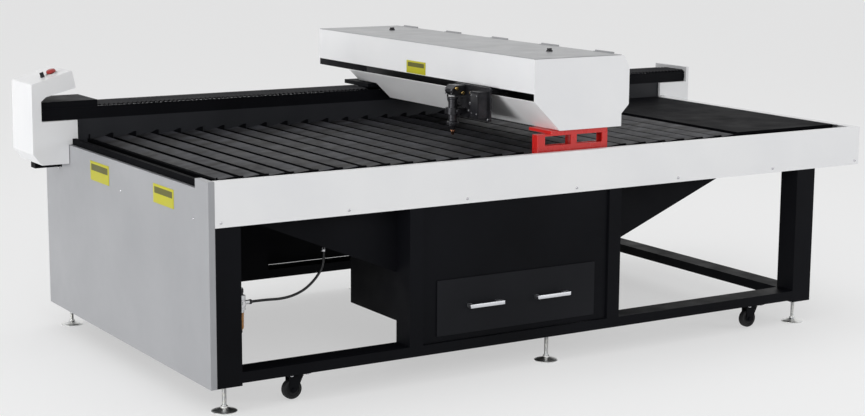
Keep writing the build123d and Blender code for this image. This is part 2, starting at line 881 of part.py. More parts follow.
def make_drawer_cabinet():
    """Cabinet under the hopper's mouth: floor, three walls, face frame and two runners."""
    x0 = post_left
    x1 = post_left + cabinet_width
    y0 = frame_front + leg_size
    t = cabinet_sheet
    pieces = []
    pieces.append(box(x0, x1, y0, cabinet_back, cabinet_bottom, cabinet_bottom + t))
    pieces.append(box(x0, x0 + t, y0, cabinet_back, cabinet_bottom + t, hopper_mouth))
    pieces.append(box(x1 - t, x1, y0, cabinet_back, cabinet_bottom + t, hopper_mouth))
    pieces.append(box(x0 + t, x1 - t, cabinet_back - t, cabinet_back, cabinet_bottom + t, hopper_mouth))
    face_left = post_left + post_size
    face_right = post_right
    face_y = frame_front + face_setback
    middle = (x0 + x1) / 2
    half = drawer_width / 2 - 12
    face = box(face_left, face_right, face_y, face_y + t, face_bottom, skirt_bottom + 10)
    face -= box(middle - half, middle + half, face_y - 1, face_y + t + 1,
                drawer_bottom + 12, drawer_top - 12)
    pieces.append(face)
    runner = drawer_width / 2 - 40
    for x in (middle - runner, middle + runner):
        pieces.append(box(x - 12, x + 12, y0, cabinet_back - 20, cabinet_bottom + t,
                          cabinet_bottom + t + runner_height))
    return pieces


def drawer_middle():
    return post_left + cabinet_width / 2


def drawer_face():
    """Front of the drawer, one millimetre clear of the cabinet's face frame."""
    return frame_front + face_setback - 1 - drawer_front_sheet


def make_drawer():
    """Tray with a wide front plate that hangs lower than the tray."""
    middle = drawer_middle()
    half = drawer_width / 2
    front = drawer_face()
    behind = front + drawer_front_sheet
    z0 = cabinet_bottom + cabinet_sheet + runner_height + 0.5
    plate = box(middle - half, middle + half, front, behind, drawer_bottom, drawer_top)
    plate = fillet(plate.edges().filter_by(Axis.Y), 4)
    tray_half = half - 12 - drawer_gap
    y1 = behind + drawer_depth
    tray = box(middle - tray_half, middle + tray_half, behind, y1, z0, z0 + tray_height)
    t = drawer_sheet
    tray -= box(middle - tray_half + t, middle + tray_half - t, behind + t, y1 - t, z0 + t,
                z0 + tray_height + 1)
    return plate + tray


def make_drawer_handles():
    """Two bow handles, each bent from one round bar."""
    front = drawer_face()
    handles = []
    for side in (-1, 1):
        x = drawer_middle() + side * handle_spacing / 2
        r = handle_bar / 2
        half = handle_length / 2 - r
        path = FilletPolyline((x - half, front), (x - half, front - handle_reach + r),
                              (x + half, front - handle_reach + r), (x + half, front), radius=10)
        path = Plane((0, 0, handle_height)) * path
        start = Plane(origin=path @ 0, z_dir=path % 0)
        handles.append(sweep(start * Circle(r), path=path))
    return handles


def make_electrical_cabinet():
    """Steel case at the back with a rim for its door."""
    x0 = electric_left
    x1 = electric_left + electric_width
    y1 = frame_back - 3
    y0 = y1 - electric_depth
    t = electric_sheet
    z0 = rail_top
    case = box(x0, x1, y0, y1, z0, electric_top)
    case -= box(x0 + t, x1 - t, y0 + t, y1 - t, z0 + t, electric_top - t)
    edge = door_edge
    case -= box(x0 + edge, x1 - edge, y1 - t - 1, y1 + 1, z0 + edge, electric_top - edge)
    pin_x, pin_y = door_hinge()
    pin_bottom, pin_top = door_pin()
    for z in (pin_bottom, pin_top - hinge_lug):
        lug = box(x0, pin_x + hinge_radius, y1 - t, pin_y + hinge_radius + 1, z, z + hinge_lug)
        case += lug - upright(hinge_radius + hinge_clearance, pin_x, pin_y, z - 1, z + hinge_lug + 1)
    return case


def door_hinge():
    return electric_left + hinge_radius, frame_back + 1 + hinge_radius


def door_pin():
    """Heights of the lower and upper end of the door's hinge pin."""
    return rail_top + 14, electric_top - 12


def make_cabinet_door():
    """Door plate on a pin along its left edge, with a lever handle on the free side."""
    x0 = electric_left
    x1 = electric_left + electric_width
    y0 = frame_back - 3 + door_gap
    z0 = rail_top + 6
    z1 = electric_top - 4
    plate = box(x0 + 2 * hinge_radius + 2.5, x1 - 2, y0, y0 + 2, z0, z1)
    hinge_x, hinge_y = door_hinge()
    pin_bottom, pin_top = door_pin()
    pin = upright(hinge_radius, hinge_x, hinge_y, pin_bottom, pin_top)
    leaf = box(hinge_x, x0 + 2 * hinge_radius + 14, y0 + 2, y0 + 3.5, pin_bottom + hinge_lug + 2,
               pin_top - hinge_lug - 2)
    boss_x = x1 - 45
    boss_z = (z0 + z1) / 2
    boss = bar_along_y(14, boss_x, boss_z, y0 + 2, y0 + 10)
    return plate + leaf + pin + boss


def make_rear_cover_panel():
    """Flat panel that closes the back beside the electrical cabinet, with cooling slots."""
    x0 = electric_left + electric_width + 2
    x1 = right_leg - 1
    z0 = rail_top + 1
    z1 = skirt_bottom - 1
    panel = box(x0, x1, frame_back + 0.3, frame_back + 0.3 + cover_sheet, z0, z1)
    left = x0 + vent_inset
    for i in range(vent_count):
        z = z1 - vent_drop + i * vent_pitch
        panel -= box(left, left + vent_width, frame_back - 1, frame_back + 5, z, z + vent_height)
    return panel


def hood_points():
    """Outer outline of the hood from its slot round to its foot, as across and up."""
    right = gantry_face + hood_width
    top_right = right - hood_chamfer_across
    inner_right = right - hood_step_across
    return [(gantry_face + hood_return, hood_slot_top), (gantry_face, hood_slot_top),
            (gantry_face, hood_top), (top_right, hood_top), (right, hood_top - hood_chamfer_down),
            (right, hood_step_top), (inner_right, hood_step_top - hood_step_across),
            (inner_right, hood_bottom)]


def make_gantry_cover():
    """White hood of folded sheet: face, top with a long opening, chamfered back."""
    y0 = gantry_front + end_plate_thickness
    y1 = gantry_end - end_plate_thickness
    sheet = folded_along_y(hood_points(), hood_sheet, Side.RIGHT, y0, y1)
    edge = lid_opening_edge
    top_right = gantry_face + hood_width - hood_chamfer_across
    opening = box(gantry_face + edge, top_right - edge, y0 + edge, y1 - edge, hood_top - 5, hood_top + 5)
    for strap in (near_strap, far_strap):
        opening -= box(gantry_face, top_right, strap, strap + strap_width, hood_top - 6, hood_top + 6)
    tail = box(gantry_face + hood_width / 2, gantry_face + hood_width + 1, apron_end + 4,
               gantry_end + 1, hood_bottom - 5, beam_bottom + 5)
    return sheet - opening - tail


def end_outline():
    right = gantry_face + hood_width
    top_right = right - hood_chamfer_across
    inner_right = right - hood_step_across
    top = hood_top
    return [(gantry_face, top), (top_right, top), (right, top - hood_chamfer_down), (right, hood_step_top),
            (inner_right, hood_step_top - hood_step_across), (inner_right, hood_bottom),
            (gantry_face + apron_across, hood_bottom), (gantry_face, hood_slot_bottom)]


def make_near_end_plate():
    """Six sided plate that closes the hood at the front."""
    return prism_along_y(end_outline(), gantry_front, gantry_front + end_plate_thickness)


def make_far_end_plate():
    """Plate at the far end, with the floor of the hood's overhang behind the rail."""
    plate = prism_along_y(end_outline(), gantry_end - end_plate_thickness, gantry_end)
    plate -= box(gantry_face - 1, gantry_face + hood_width - 100, 0, gantry_end + 1, 0, hood_slot_top)
    plate -= box(gantry_face, gantry_face + hood_width + 1, 0, gantry_end + 1, 0, beam_bottom + 5)
    floor_y = rail_back + 4
    inset = hood_return + 1
    right = gantry_face + hood_width - hood_sheet - 1
    floor = box(gantry_face + inset, right, floor_y, gantry_end - end_plate_thickness,
                hood_slot_top, hood_slot_top + hood_sheet)
    return plate + floor


def make_apron():
    """Brushed sheet below the slot: a slanting face folded into a flat bottom."""
    lower = gantry_face + apron_across
    right = gantry_face + hood_width - hood_step_across - hood_sheet - seam_gap
    points = [(gantry_face, hood_slot_bottom), (lower, hood_bottom), (right, hood_bottom)]
    y0 = gantry_front + end_plate_thickness
    y1 = apron_tail_end
    sheet = folded_along_y(points, hood_sheet, Side.LEFT, y0, y1)
    tail = box(gantry_face, right + 1, apron_end, y1 + 1, hood_bottom - 5, beam_bottom + 4)
    neck_room = box(neck_left - 3, neck_left + neck_width + 3, riser_front, riser_front + neck_depth + 14,
                    hood_bottom - 5, hood_bottom + 5)
    return sheet - tail - neck_room


def make_lid():
    """Flat lid over the hood's opening with hinge knuckles along its right edge."""
    top_right = gantry_face + hood_width - hood_chamfer_across
    y0 = gantry_front + lid_inset
    y1 = gantry_end - lid_inset
    z0 = hood_top + lid_gap
    lid = box(gantry_face + lid_inset, top_right - 2 * hinge_radius - 1, y0, y1, z0, z0 + lid_thickness)
    hinge_x, hinge_z = lid_hinge()
    first = y0 + knuckle_inset
    pitch = (y1 - y0 - 2 * knuckle_inset - knuckle_length) / (knuckle_count - 1)
    leaf_bottom = z0 + lid_thickness
    for i in range(knuckle_count):
        start = first + i * pitch
        end = start + knuckle_length
        lid += box(hinge_x - 14, hinge_x, start, end, leaf_bottom, leaf_bottom + 1.5)
        lid += bar_along_y(hinge_radius, hinge_x, hinge_z, start, end)
    for y in (gantry_front + latch_from_near, gantry_end - latch_from_far):
        lid -= upright(7.1, gantry_face + latch_across, y, z0 - 1, z0 + lid_thickness + 1)
    return lid


def lid_hinge():
    top_right = gantry_face + hood_width - hood_chamfer_across
    return top_right - hinge_radius, hood_top + lid_gap + hinge_radius


def make_latch(y):
    """Quarter-turn latch: low round knob with a grip bar, and a cam below the lid."""
    x = gantry_face + latch_across
    z0 = hood_top + lid_gap + lid_thickness
    knob = upright(latch_radius, x, y, z0 + 0.3, z0 + 5)
    grip = box(x - 10, x + 10, y - 3, y + 3, z0 + 5, z0 + 13)
    under = hood_top - hood_sheet - 0.5
    stem = upright(7, x, y, under - 3, z0 + 1)
    cam = box(x - 7, x + 26, y - 6, y + 6, under - 3, under)
    return knob + grip + stem + cam


def make_gantry_beam():
    """Box beam of the gantry with the guide rail of the head on its left face."""
    x0 = gantry_face + beam_across
    y0 = riser_front + 2
    y1 = rail_back - 4
    beam = tube_along_y(x0, x0 + beam_width, y0, y1, beam_bottom, beam_top, beam_wall)
    half = head_guide_size / 2
    rail = box(x0 - head_guide_size, x0, y0 + 20, bed_back - 20, slot_middle - half, slot_middle + half)
    ribs = []
    inner = gantry_face + hood_width - hood_sheet
    outline = [(x0 + beam_width, beam_bottom + 8), (inner - 38, beam_bottom + 8), (inner, beam_bottom + 34),
               (inner, beam_top - 6), (x0 + beam_width, beam_top - 6)]
    for y in rib_places:
        ribs.append(prism_along_y(outline, y, y + rib_thickness))
    return [beam, rail] + ribs


def make_riser():
    """Red welded bracket: foot, box with two windows, top flange and a neck to the beam."""
    t = riser_plate
    y0 = riser_front
    y1 = riser_front + riser_depth
    under_hood = hood_bottom - hood_sheet
    flange_bottom = under_hood - flange_sheet
    body = box(riser_left, riser_right, y0, y1, riser_bottom, flange_bottom + 1)
    corners = [e for e in body.edges().filter_by(Axis.Z)]
    body = fillet(corners, 3)
    body -= box(riser_left + t, riser_right - t, y0 + t, y1 - t, riser_bottom + t, flange_bottom)
    width = (riser_width - window_left - window_middle - window_right) / 2
    for x in (riser_left + window_left, riser_right - window_right - width):
        body -= box(x, x + width, y0 - 1, y1 + 1, window_bottom, window_bottom + window_height)
    foot = box(riser_left, riser_right, y0, y0 + riser_foot_depth, riser_bottom, riser_bottom + t)
    flange = box(gantry_face + flange_across, riser_right, y0, y0 + flange_depth, flange_bottom, under_hood)
    flange = fillet(flange.edges().filter_by(Axis.Z), 4)
    neck = box(neck_left, neck_left + neck_width, y0 + 8, y0 + 8 + neck_depth, under_hood - 1, beam_bottom)
    neck -= box(neck_left + t, neck_left + neck_width - t, y0 + 8 + t, y0 + 8 + neck_depth - t,
                under_hood, beam_bottom + 1)
    return body + foot + flange + neck


def bearing_block(x0, y, rail_base, top):
    """Sliding block that clasps a guide rail with a small clearance."""
    half = block_width / 2
    block = box(x0, x0 + block_length, y - half, y + half, rail_base + 3, top)
    room = guide_width / 2 + guide_clearance
    rail_room = box(x0 - 1, x0 + block_length + 1, y - room, y + room, rail_base,
                    rail_base + guide_height + guide_clearance)
    return block - rail_room


def make_front_bearings():
    x1 = riser_right - block_length
    return [bearing_block(x, front_guide_y, frame_top, riser_bottom) for x in (riser_left, x1)]


def make_rear_carriage():
    """Black carriage between the rear guide rail and the gantry beam."""
    top = beam_bottom
    plate_bottom = top - carriage_plate
    x1 = riser_right - block_length
    plate = box(riser_left, riser_right, bed_back + 6, rail_back - 6, plate_bottom, top)
    web_half = block_width / 2 - 1
    web = box(riser_left, riser_right, groove_middle - web_half, groove_middle + web_half,
              rear_rail_top - 1, plate_bottom)
    carriage = plate + web
    for x in (riser_left, x1):
        carriage += bearing_block(x, groove_middle, groove_floor, rear_rail_top - 1)
    return carriage


def make_laser_tube():
    """Sealed glass tube with necked metal ends."""
    x = gantry_face + beam_across + beam_width / 2
    z = beam_top + cradle_base + tube_radius
    y0 = gantry_front + tube_front_room
    neck = 60
    profile = Polyline((0, 0), (14, 0), (14, 20), (24, 24), (24, neck), (tube_radius, neck + 18),
                       (tube_radius, tube_length - neck - 18), (24, tube_length - neck),
                       (24, tube_length - 24), (14, tube_length - 20), (14, tube_length), (0, tube_length))
    body = revolve(Plane.XZ * make_face(profile + Line((0, tube_length), (0, 0))), Axis.Z)
    return Pos(x, y0, z) * Rot(-90, 0, 0) * body


def make_cradles():
    """Saddles that hold the laser tube on the beam."""
    x = gantry_face + beam_across + beam_width / 2
    z = beam_top + cradle_base + tube_radius
    pieces = []
    for y in (gantry_front + cradle_front, gantry_end - cradle_back):
        saddle = box(x - cradle_reach, x + cradle_reach, y, y + cradle_width, beam_top, z)
        saddle -= bar_along_y(tube_radius + 0.3, x, z, y - 1, y + cradle_width + 1)
        pieces.append(saddle)
    return pieces


def make_head_carriage():
    """Arm through the slot, front plate, mirror box and the clamp for the focus tube."""
    arm_half = head_arm_thickness / 2
    beam_x = gantry_face + beam_across
    block_x = beam_x - head_guide_size - 14
    half = head_width / 2
    plate_x1 = gantry_face - head_arm_reach + head_plate_thickness
    plate_x0 = gantry_face - head_arm_reach
    arm = box(plate_x0, block_x + 4, head_y - half + 30, head_y + half - 30, slot_middle - arm_half,
              slot_middle + arm_half)
    near = head_y - head_block_half
    far = head_y + head_block_half
    block = box(block_x, beam_x - 2, near, far, slot_middle - 19, slot_middle + 19)
    room = head_guide_size / 2 + guide_clearance
    block -= box(beam_x - head_guide_size - guide_clearance, beam_x + 1, near - 1, far + 1,
                 slot_middle - room, slot_middle + room)
    plate = box(plate_x0, plate_x1, head_y - half, head_y + half, head_plate_bottom, head_plate_top)
    plate = fillet(plate.edges().filter_by(Axis.X), 8)
    body = arm + block + plate
    mirror_box = box(plate_x0 - 62, plate_x0, focus_y - 30, focus_y + 30, focus_top + 3, head_plate_top - 4)
    mirror_box = chamfer(mirror_box.edges().filter_by(Axis.Y).group_by(Axis.X)[0], 14)
    body += mirror_box
    clamp_z = clamp_bottom
    focus_x = gantry_face - focus_across
    clamp = box(focus_x, plate_x0, focus_y - 30, focus_y + 30, clamp_z, clamp_z + clamp_height)
    clamp += upright(30, focus_x, focus_y, clamp_z, clamp_z + clamp_height)
    clamp -= upright(focus_radius + focus_clearance, focus_x, focus_y, clamp_z - 1,
                     clamp_z + clamp_height + 1)
    body += clamp
    for x, y, z in (head_route[0], head_route[-1]):
        body += box(x - 7, plate_x0, y - 15, y, z - 8, z + 8)
    side = box(plate_x0 - 46, plate_x0, head_y - half + 12, head_y - half + 72, head_plate_bottom + 16,
               head_plate_top - 16)
    return body + side


def make_focus_tube():
    """Lens tube with a knurled ring and a cone nozzle, sliding up and down in its clamp."""
    x = gantry_face - focus_across
    profile = Polyline((0, nozzle_tip), (nozzle_radius, nozzle_tip), (focus_radius - 4, nozzle_top),
                       (focus_radius + 5, nozzle_top + 2), (focus_radius + 5, nozzle_top + 16),
                       (focus_radius, nozzle_top + 18), (focus_radius, focus_top - 14),
                       (focus_radius + 3, focus_top - 12), (focus_radius + 3, focus_top - 5),
                       (0, focus_top - 5))
    body = revolve(Plane.XZ * make_face(profile + Line((0, focus_top - 5), (0, nozzle_tip))), Axis.Z)
    fitting = bar_along_y(5, x, nozzle_top + 9, focus_y, focus_y + 34)
    return Pos(x, focus_y, 0) * body + fitting


def route_radii(points, diameter):
    """For each corner of a hose's route: 0.45 of its shorter run over the tangent of half its turn."""
    radii = []
    for before, corner, after in zip(points, points[1:], points[2:]):
        first = Vector(*corner) - Vector(*before)
        second = Vector(*after) - Vector(*corner)
        turn = math.radians(first.get_angle(second))
        radii.append(0.45 * min(first.length, second.length) / math.tan(turn / 2))
    print("radii over diameter:", [round(r / diameter, 1) for r in radii])
    return radii


def hose(points, diameter):
    path = FilletPolyline(*points, radius=route_radii(points, diameter))
    start = Plane(origin=path @ 0, z_dir=path % 0)
    tube = sweep(start * Circle(diameter / 2), path=path)
    ideal = math.pi * diameter ** 2 / 4 * path.length
    print("hose length", round(path.length), "volume over ideal", round(tube.volume / ideal, 4))
    return tube


air_route = [(175, 80, 386), (236, 80, 386), (294, 85, 381), (350, 91, 385), (404, 99, 401),
             (448, 109, 428), (483, 121, 459), (502, 131, 494), (502, 131, 532)]
head_route = [(loop_x, loop_y, loop_high), (loop_x, loop_y + 31, loop_high),
              (loop_x, loop_y + 53, loop_high - 22), (loop_x, loop_y + 53, loop_low + 22),
              (loop_x, loop_y + 31, loop_low), (loop_x, loop_y, loop_low)]


def make_regulator():
    """Filter regulator: square body on a bracket, round adjusting cap and push-in fitting."""
    x0 = leg_size
    w = regulator_width
    y0 = regulator_y - w / 2
    z1 = regulator_top
    z0 = z1 - regulator_height
    bracket = box(x0, x0 + 12, y0 - 6, y0 + w + 6, z0 + 14, z0 + 50)
    body = box(x0 + 12, x0 + 12 + w, y0, y0 + w, z0, z1 - 14)
    body = chamfer(body.edges().filter_by(Axis.Z), 5)
    middle_x = x0 + 12 + w / 2
    cap = upright(12, middle_x, regulator_y, z1 - 14, z1 + 12)
    fitting_z = air_route[0][2]
    fitting = bar_along_x(8, regulator_y + 2, fitting_z, x0 + 12 + w - 4, air_route[0][0])
    return bracket + body + cap + fitting


def make_bowl():
    """Filter bowl that hangs from the regulator."""
    x = leg_size + 12 + regulator_width / 2
    top = regulator_top - regulator_height
    profile = Polyline((0, top - bowl_height), (8, top - bowl_height), (8, top - bowl_height + 8),
                       (bowl_radius - 2, top - bowl_height + 14), (bowl_radius, top - 8),
                       (bowl_radius, top), (0, top))
    face = make_face(profile + Line((0, top), (0, top - bowl_height)))
    return Pos(x, regulator_y, 0) * revolve(Plane.XZ * face, Axis.Z)


def make_screws():
    """Screw heads along the skirt's lower edge and on the left end cover."""
    heads = []
    count = 1 + int((table_length - 4 * screw_first) / screw_pitch)
    places = [screw_first + i * screw_pitch for i in range(count)] + [table_length - screw_first]
    for x in places:
        heads.append(bar_along_y(screw_radius, x, screw_height, -screw_head, 0))
    pitch = (table_width - end_screw_first - end_screw_last_inset) / 2
    for i in range(3):
        y = end_screw_first + i * pitch
        heads.append(bar_along_x(screw_radius, y, screw_height, -left_cover_depth - screw_head,
                                 -left_cover_depth))
    return heads


nodes["legs"] = make_legs()
nodes["bottom_rails"] = make_bottom_rails()
nodes["table_frame"] = make_table_frame()
nodes["front_skirt"] = make_front_skirt()
nodes["left_end_cover"] = make_left_end_cover()
nodes["right_end_skirt"] = make_right_end_skirt()
nodes["rear_skirt"] = make_rear_skirt()
nodes["right_deck"] = make_right_deck()
nodes["bed_rim"] = make_bed_rim()
nodes["slat_combs"] = [comb(bed_front, front_tooth_top), comb(bed_back - comb_sheet, rear_tooth_top)]
nodes["bed_slats"] = make_bed_slats()
nodes["rear_wall"] = make_rear_wall()
nodes["rear_rail_beam"] = make_rear_rail_beam()
nodes["guide_rails"] = make_guide_rails()
nodes["bellows_left"] = bellows(rear_rail_left + end_block_length + bellows_gap, riser_left - bellows_gap)
nodes["bellows_right"] = bellows(riser_right + bellows_gap, rear_rail_right - bellows_gap)
nodes["rail_end_cap"] = make_rail_end_cap()
nodes["console"] = make_console()
nodes["emergency_stop"] = make_stop_button()
nodes["key_switch"] = make_key_switch()
nodes["dust_hopper"] = make_hopper()
nodes["drawer_cabinet"] = make_drawer_cabinet()
nodes["dust_drawer"] = make_drawer()
nodes["drawer_handles"] = make_drawer_handles()
nodes["electrical_cabinet"] = make_electrical_cabinet()
nodes["cabinet_door"] = make_cabinet_door()
nodes["rear_cover_panel"] = make_rear_cover_panel()
nodes["gantry_cover"] = make_gantry_cover()
nodes["near_end_plate"] = make_near_end_plate()
nodes["far_end_plate"] = make_far_end_plate()
nodes["gantry_apron"] = make_apron()
nodes["tube_lid"] = make_lid()
nodes["latch_near"] = make_latch(gantry_front + latch_from_near)
nodes["latch_far"] = make_latch(gantry_end - latch_from_far)
nodes["gantry_beam"] = make_gantry_beam() + make_cradles()
nodes["riser_bracket"] = make_riser()
nodes["front_bearings"] = make_front_bearings()
nodes["rear_carriage"] = make_rear_carriage()
nodes["laser_tube"] = make_laser_tube()
nodes["head_carriage"] = make_head_carriage()
nodes["focus_tube"] = make_focus_tube()
nodes["head_hose"] = hose(head_route, 6.0)
nodes["air_regulator"] = make_regulator()
nodes["filter_bowl"] = make_bowl()
nodes["air_hose"] = hose(air_route, hose_diameter)
nodes["cover_screws"] = make_screws()
for name, x, y in caster_places():
    nodes["caster_fork_" + name] = make_caster_fork(x, y)
    nodes["caster_wheel_" + name] = make_caster_wheel(x, y)
for name, x, y, seat in frame_feet():
    nodes["foot_" + name] = make_foot(x, y, seat)


def all_solids(piece):
    pieces = piece if isinstance(piece, list) else [piece]
    return [solid for item in pieces for solid in item.solids()]


shapes = {name: Compound(all_solids(piece)) for name, piece in nodes.items()}
whole = Compound(list(shapes.values())).bounding_box()
centre = Pos(-(whole.min.X + whole.max.X) / 2, -(whole.min.Y + whole.max.Y) / 2, -whole.min.Z)
print("moved by", centre.position)
for name, shape in shapes.items():
    export_step(centre * shape, "parts/" + name + ".step")
print(len(shapes), "nodes")
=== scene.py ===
# %% [markdown]
# # A flatbed laser cutting machine
# The machine's frame, covers, bed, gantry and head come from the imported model, each in its
# true place. This notebook lights it, gives every surface its finish and adds the small
# pieces that a person notices from a step away: hoses, screws, plates, threads and folds.

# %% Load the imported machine
import bpy
import bmesh
import json
import math
from mathutils import Euler, Matrix, Vector


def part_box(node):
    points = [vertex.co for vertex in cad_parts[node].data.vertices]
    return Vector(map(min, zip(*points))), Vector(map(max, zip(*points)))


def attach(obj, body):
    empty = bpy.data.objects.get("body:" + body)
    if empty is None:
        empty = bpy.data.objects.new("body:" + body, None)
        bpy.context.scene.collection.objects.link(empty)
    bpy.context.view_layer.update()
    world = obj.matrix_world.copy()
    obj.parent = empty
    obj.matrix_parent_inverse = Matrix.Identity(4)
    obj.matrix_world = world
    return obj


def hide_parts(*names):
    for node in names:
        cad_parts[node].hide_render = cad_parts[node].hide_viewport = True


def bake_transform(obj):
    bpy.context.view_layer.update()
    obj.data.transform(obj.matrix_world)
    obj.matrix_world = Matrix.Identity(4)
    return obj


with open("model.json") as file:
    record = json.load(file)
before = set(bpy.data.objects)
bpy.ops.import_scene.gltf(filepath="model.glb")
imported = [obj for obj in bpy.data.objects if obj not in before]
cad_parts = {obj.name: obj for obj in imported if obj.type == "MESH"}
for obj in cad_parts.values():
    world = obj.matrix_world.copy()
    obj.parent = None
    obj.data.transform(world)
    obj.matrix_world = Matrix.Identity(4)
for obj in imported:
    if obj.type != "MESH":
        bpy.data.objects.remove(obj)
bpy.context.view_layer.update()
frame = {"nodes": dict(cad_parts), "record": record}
nodes = frame["nodes"]

# %% [markdown]
# The shop drawing measures from the table's front left corner on the floor. The model's
# origin is the middle of the footprint, so one helper turns a drawing point in
# millimetres into a point in the scene. Sizes in this notebook are millimetres of that
# drawing unless a comment says otherwise.

# %% Drawing points
origin_x, origin_y = 1.537006, 0.886
table_height = 850


def at(x, y, z):
    return Vector((x / 1000 - origin_x, y / 1000 - origin_y, z / 1000))


print("front left corner of the table:", at(0, 0, table_height))

# %% [markdown]
# ## Camera
# The photograph was taken with a long lens from the front left, a little above the table.
# The camera could be placed by eye, but fitting it to the table's edges is exact. That is
# why its numbers, in metres and degrees, are not round.

# %% Camera
focal_length = 74.53
stand_point = (-4.1406, -6.52891, 1.8521)
tilt, roll, heading = 79.985, -0.372, -31.742

lens = bpy.data.cameras.new("camera")
lens.sensor_fit = "HORIZONTAL"
lens.sensor_width = 36.0
lens.lens = focal_length
camera = bpy.data.objects.new("camera", lens)
bpy.context.scene.collection.objects.link(camera)
camera.location = stand_point
camera.rotation_euler = Euler((math.radians(tilt), math.radians(roll), math.radians(heading)))
bpy.context.scene.camera = camera
print("lens", lens.lens, "mm at", camera.location)

# %% [markdown]
# ## Hoses
# Two hoses show. One carries air from the regulator on the front leg to the dust hopper,
# the other loops at the side of the head. A hose could be swept along arcs, but a smooth
# spline with the route's points as its controls bends the way a real one does.
#
# Blender adds a point's radius to the size that it reports for a curve. So the round
# profile is drawn one metre in radius, and each point's radius brings it down to the
# hose's own: the tube is the same, and the reported size is right.

# %% A hose from its route
def hose(name, route, diameter, body, replaced):
    curve = bpy.data.curves.new(name, "CURVE")
    curve.dimensions = "3D"
    curve.resolution_u = 12
    curve.bevel_depth = 1.0
    curve.bevel_resolution = 5
    curve.use_fill_caps = True
    spline = curve.splines.new("NURBS")
    spline.points.add(len(route) - 1)
    for point, place in zip(spline.points, route):
        point.co = (*place, 1.0)
        point.radius = diameter / 2
    spline.order_u = 3
    spline.use_endpoint_u = True
    piece = bpy.data.objects.new(name, curve)
    bpy.context.scene.collection.objects.link(piece)
    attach(piece, body)
    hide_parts(replaced)
    return piece


# %% Air hose and head hose, with diameters and lengths in metres
air_route = [at(175, 80, 386), at(236, 80, 386), at(294, 85, 381), at(350, 91, 385), at(404, 99, 401),
             at(448, 109, 428), at(483, 121, 459), at(502, 131, 494), at(502, 131, 532)]
head_route = [at(1321, 520, 1062), at(1321, 551, 1062), at(1321, 573, 1040), at(1321, 573, 1010),
              at(1321, 551, 988), at(1321, 520, 988)]
air_hose = hose("air_hose_line", air_route, 0.010, "table", "air_hose")
head_hose = hose("head_hose_line", head_route, 0.006, "head", "head_hose")
print("hoses:", air_hose.name, head_hose.name)

# %% [markdown]
# ## Floor and light
# A pale floor that runs far out of the picture stands in for a studio. Floor and sky are
# whiter to the eye than in the light that they throw on the machine, so that the machine
# keeps its own shades. Brighter lamps would whiten the floor too, but they would wash out
# the covers. One helper tells a look from falling light: it gives 1 for a ray from the
# camera, from a reflection or through glass, and 0 for all others.

# %% Is the surface looked at?
def looked_at(tree):
    path = tree.nodes.new("ShaderNodeLightPath")
    answer = path.outputs["Is Camera Ray"]
    for kind in ("Is Glossy Ray", "Is Transmission Ray"):
        either = tree.nodes.new("ShaderNodeMath")
        either.operation = "MAXIMUM"
        tree.links.new(answer, either.inputs[0])
        tree.links.new(path.outputs[kind], either.inputs[1])
        answer = either.outputs[0]
    return answer


# %% Floor
floor_width = 160
floor_grey = (0.93, 0.935, 0.94, 1)

bpy.ops.object.select_all(action="DESELECT")
bpy.ops.mesh.primitive_plane_add(size=floor_width, location=(0, 0, 0))
floor = bpy.context.object
floor.name = "floor"
floor_finish = bpy.data.materials.new("pale floor")
floor_finish.use_nodes = True
floor_tree = floor_finish.node_tree
floor_shader = floor_tree.nodes["Principled BSDF"]
floor_shader.inputs["Base Color"].default_value = floor_grey
floor_shader.inputs["Roughness"].default_value = 0.8
floor.data.materials.append(floor_finish)
print("floor", floor.dimensions)

# %% [markdown]
# Looked at, the floor is half its own shaded colour and half plain white, so that it runs
# into the white background and still keeps the machine's shadow.

# %% Floor seen as nearly white
white_share = 0.5

white_part = floor_tree.nodes.new("ShaderNodeMath")
white_part.operation = "MULTIPLY"
white_part.inputs[1].default_value = white_share
plain_white = floor_tree.nodes.new("ShaderNodeEmission")
both = floor_tree.nodes.new("ShaderNodeMixShader")
floor_tree.links.new(looked_at(floor_tree), white_part.inputs[0])
floor_tree.links.new(white_part.outputs[0], both.inputs[0])
floor_tree.links.new(floor_shader.outputs[0], both.inputs[1])
floor_tree.links.new(plain_white.outputs[0], both.inputs[2])
floor_tree.links.new(both.outputs[0], floor_tree.nodes["Material Output"].inputs["Surface"])
print("white part of the floor:", white_share)

# %% [markdown]
# The sky is plain white where it is looked at, and gives half of that as light. It could be
# a picture of a studio, but a plain one puts no windows and stands into the reflections.

# %% Sky
sky_light = 0.50

world = bpy.data.worlds.new("studio")
bpy.context.scene.world = world
world.use_nodes = True
sky = world.node_tree
level = sky.nodes.new("ShaderNodeMapRange")
level.inputs["To Min"].default_value = sky_light
level.inputs["To Max"].default_value = 1.0
sky.links.new(looked_at(sky), level.inputs["Value"])
sky.links.new(level.outputs["Result"], sky.nodes["Background"].inputs["Strength"])
sky.nodes["Background"].inputs["Color"].default_value = (1, 1, 1, 1)
print("sky gives light at", sky_light)

# %% [markdown]
# Four large lamps do the rest. The hood's face looks left and is as bright as the front
# skirt, so a wide lamp far out on the left lights all that looks that way, evenly along the
# hood. A nearer lamp in front lights the skirt, one on the right its other end, and one
# above fills the tops.

# %% Lamps, with places and sizes in metres
def lamp(name, place, target, width, height, watts):
    data = bpy.data.lights.new(name, "AREA")
    data.shape = "RECTANGLE"
    data.size = width
    data.size_y = height
    data.energy = watts
    piece = bpy.data.objects.new(name, data)
    bpy.context.scene.collection.objects.link(piece)
    piece.location = place
    piece.rotation_euler = (Vector(target) - Vector(place)).to_track_quat("-Z", "Y").to_euler()


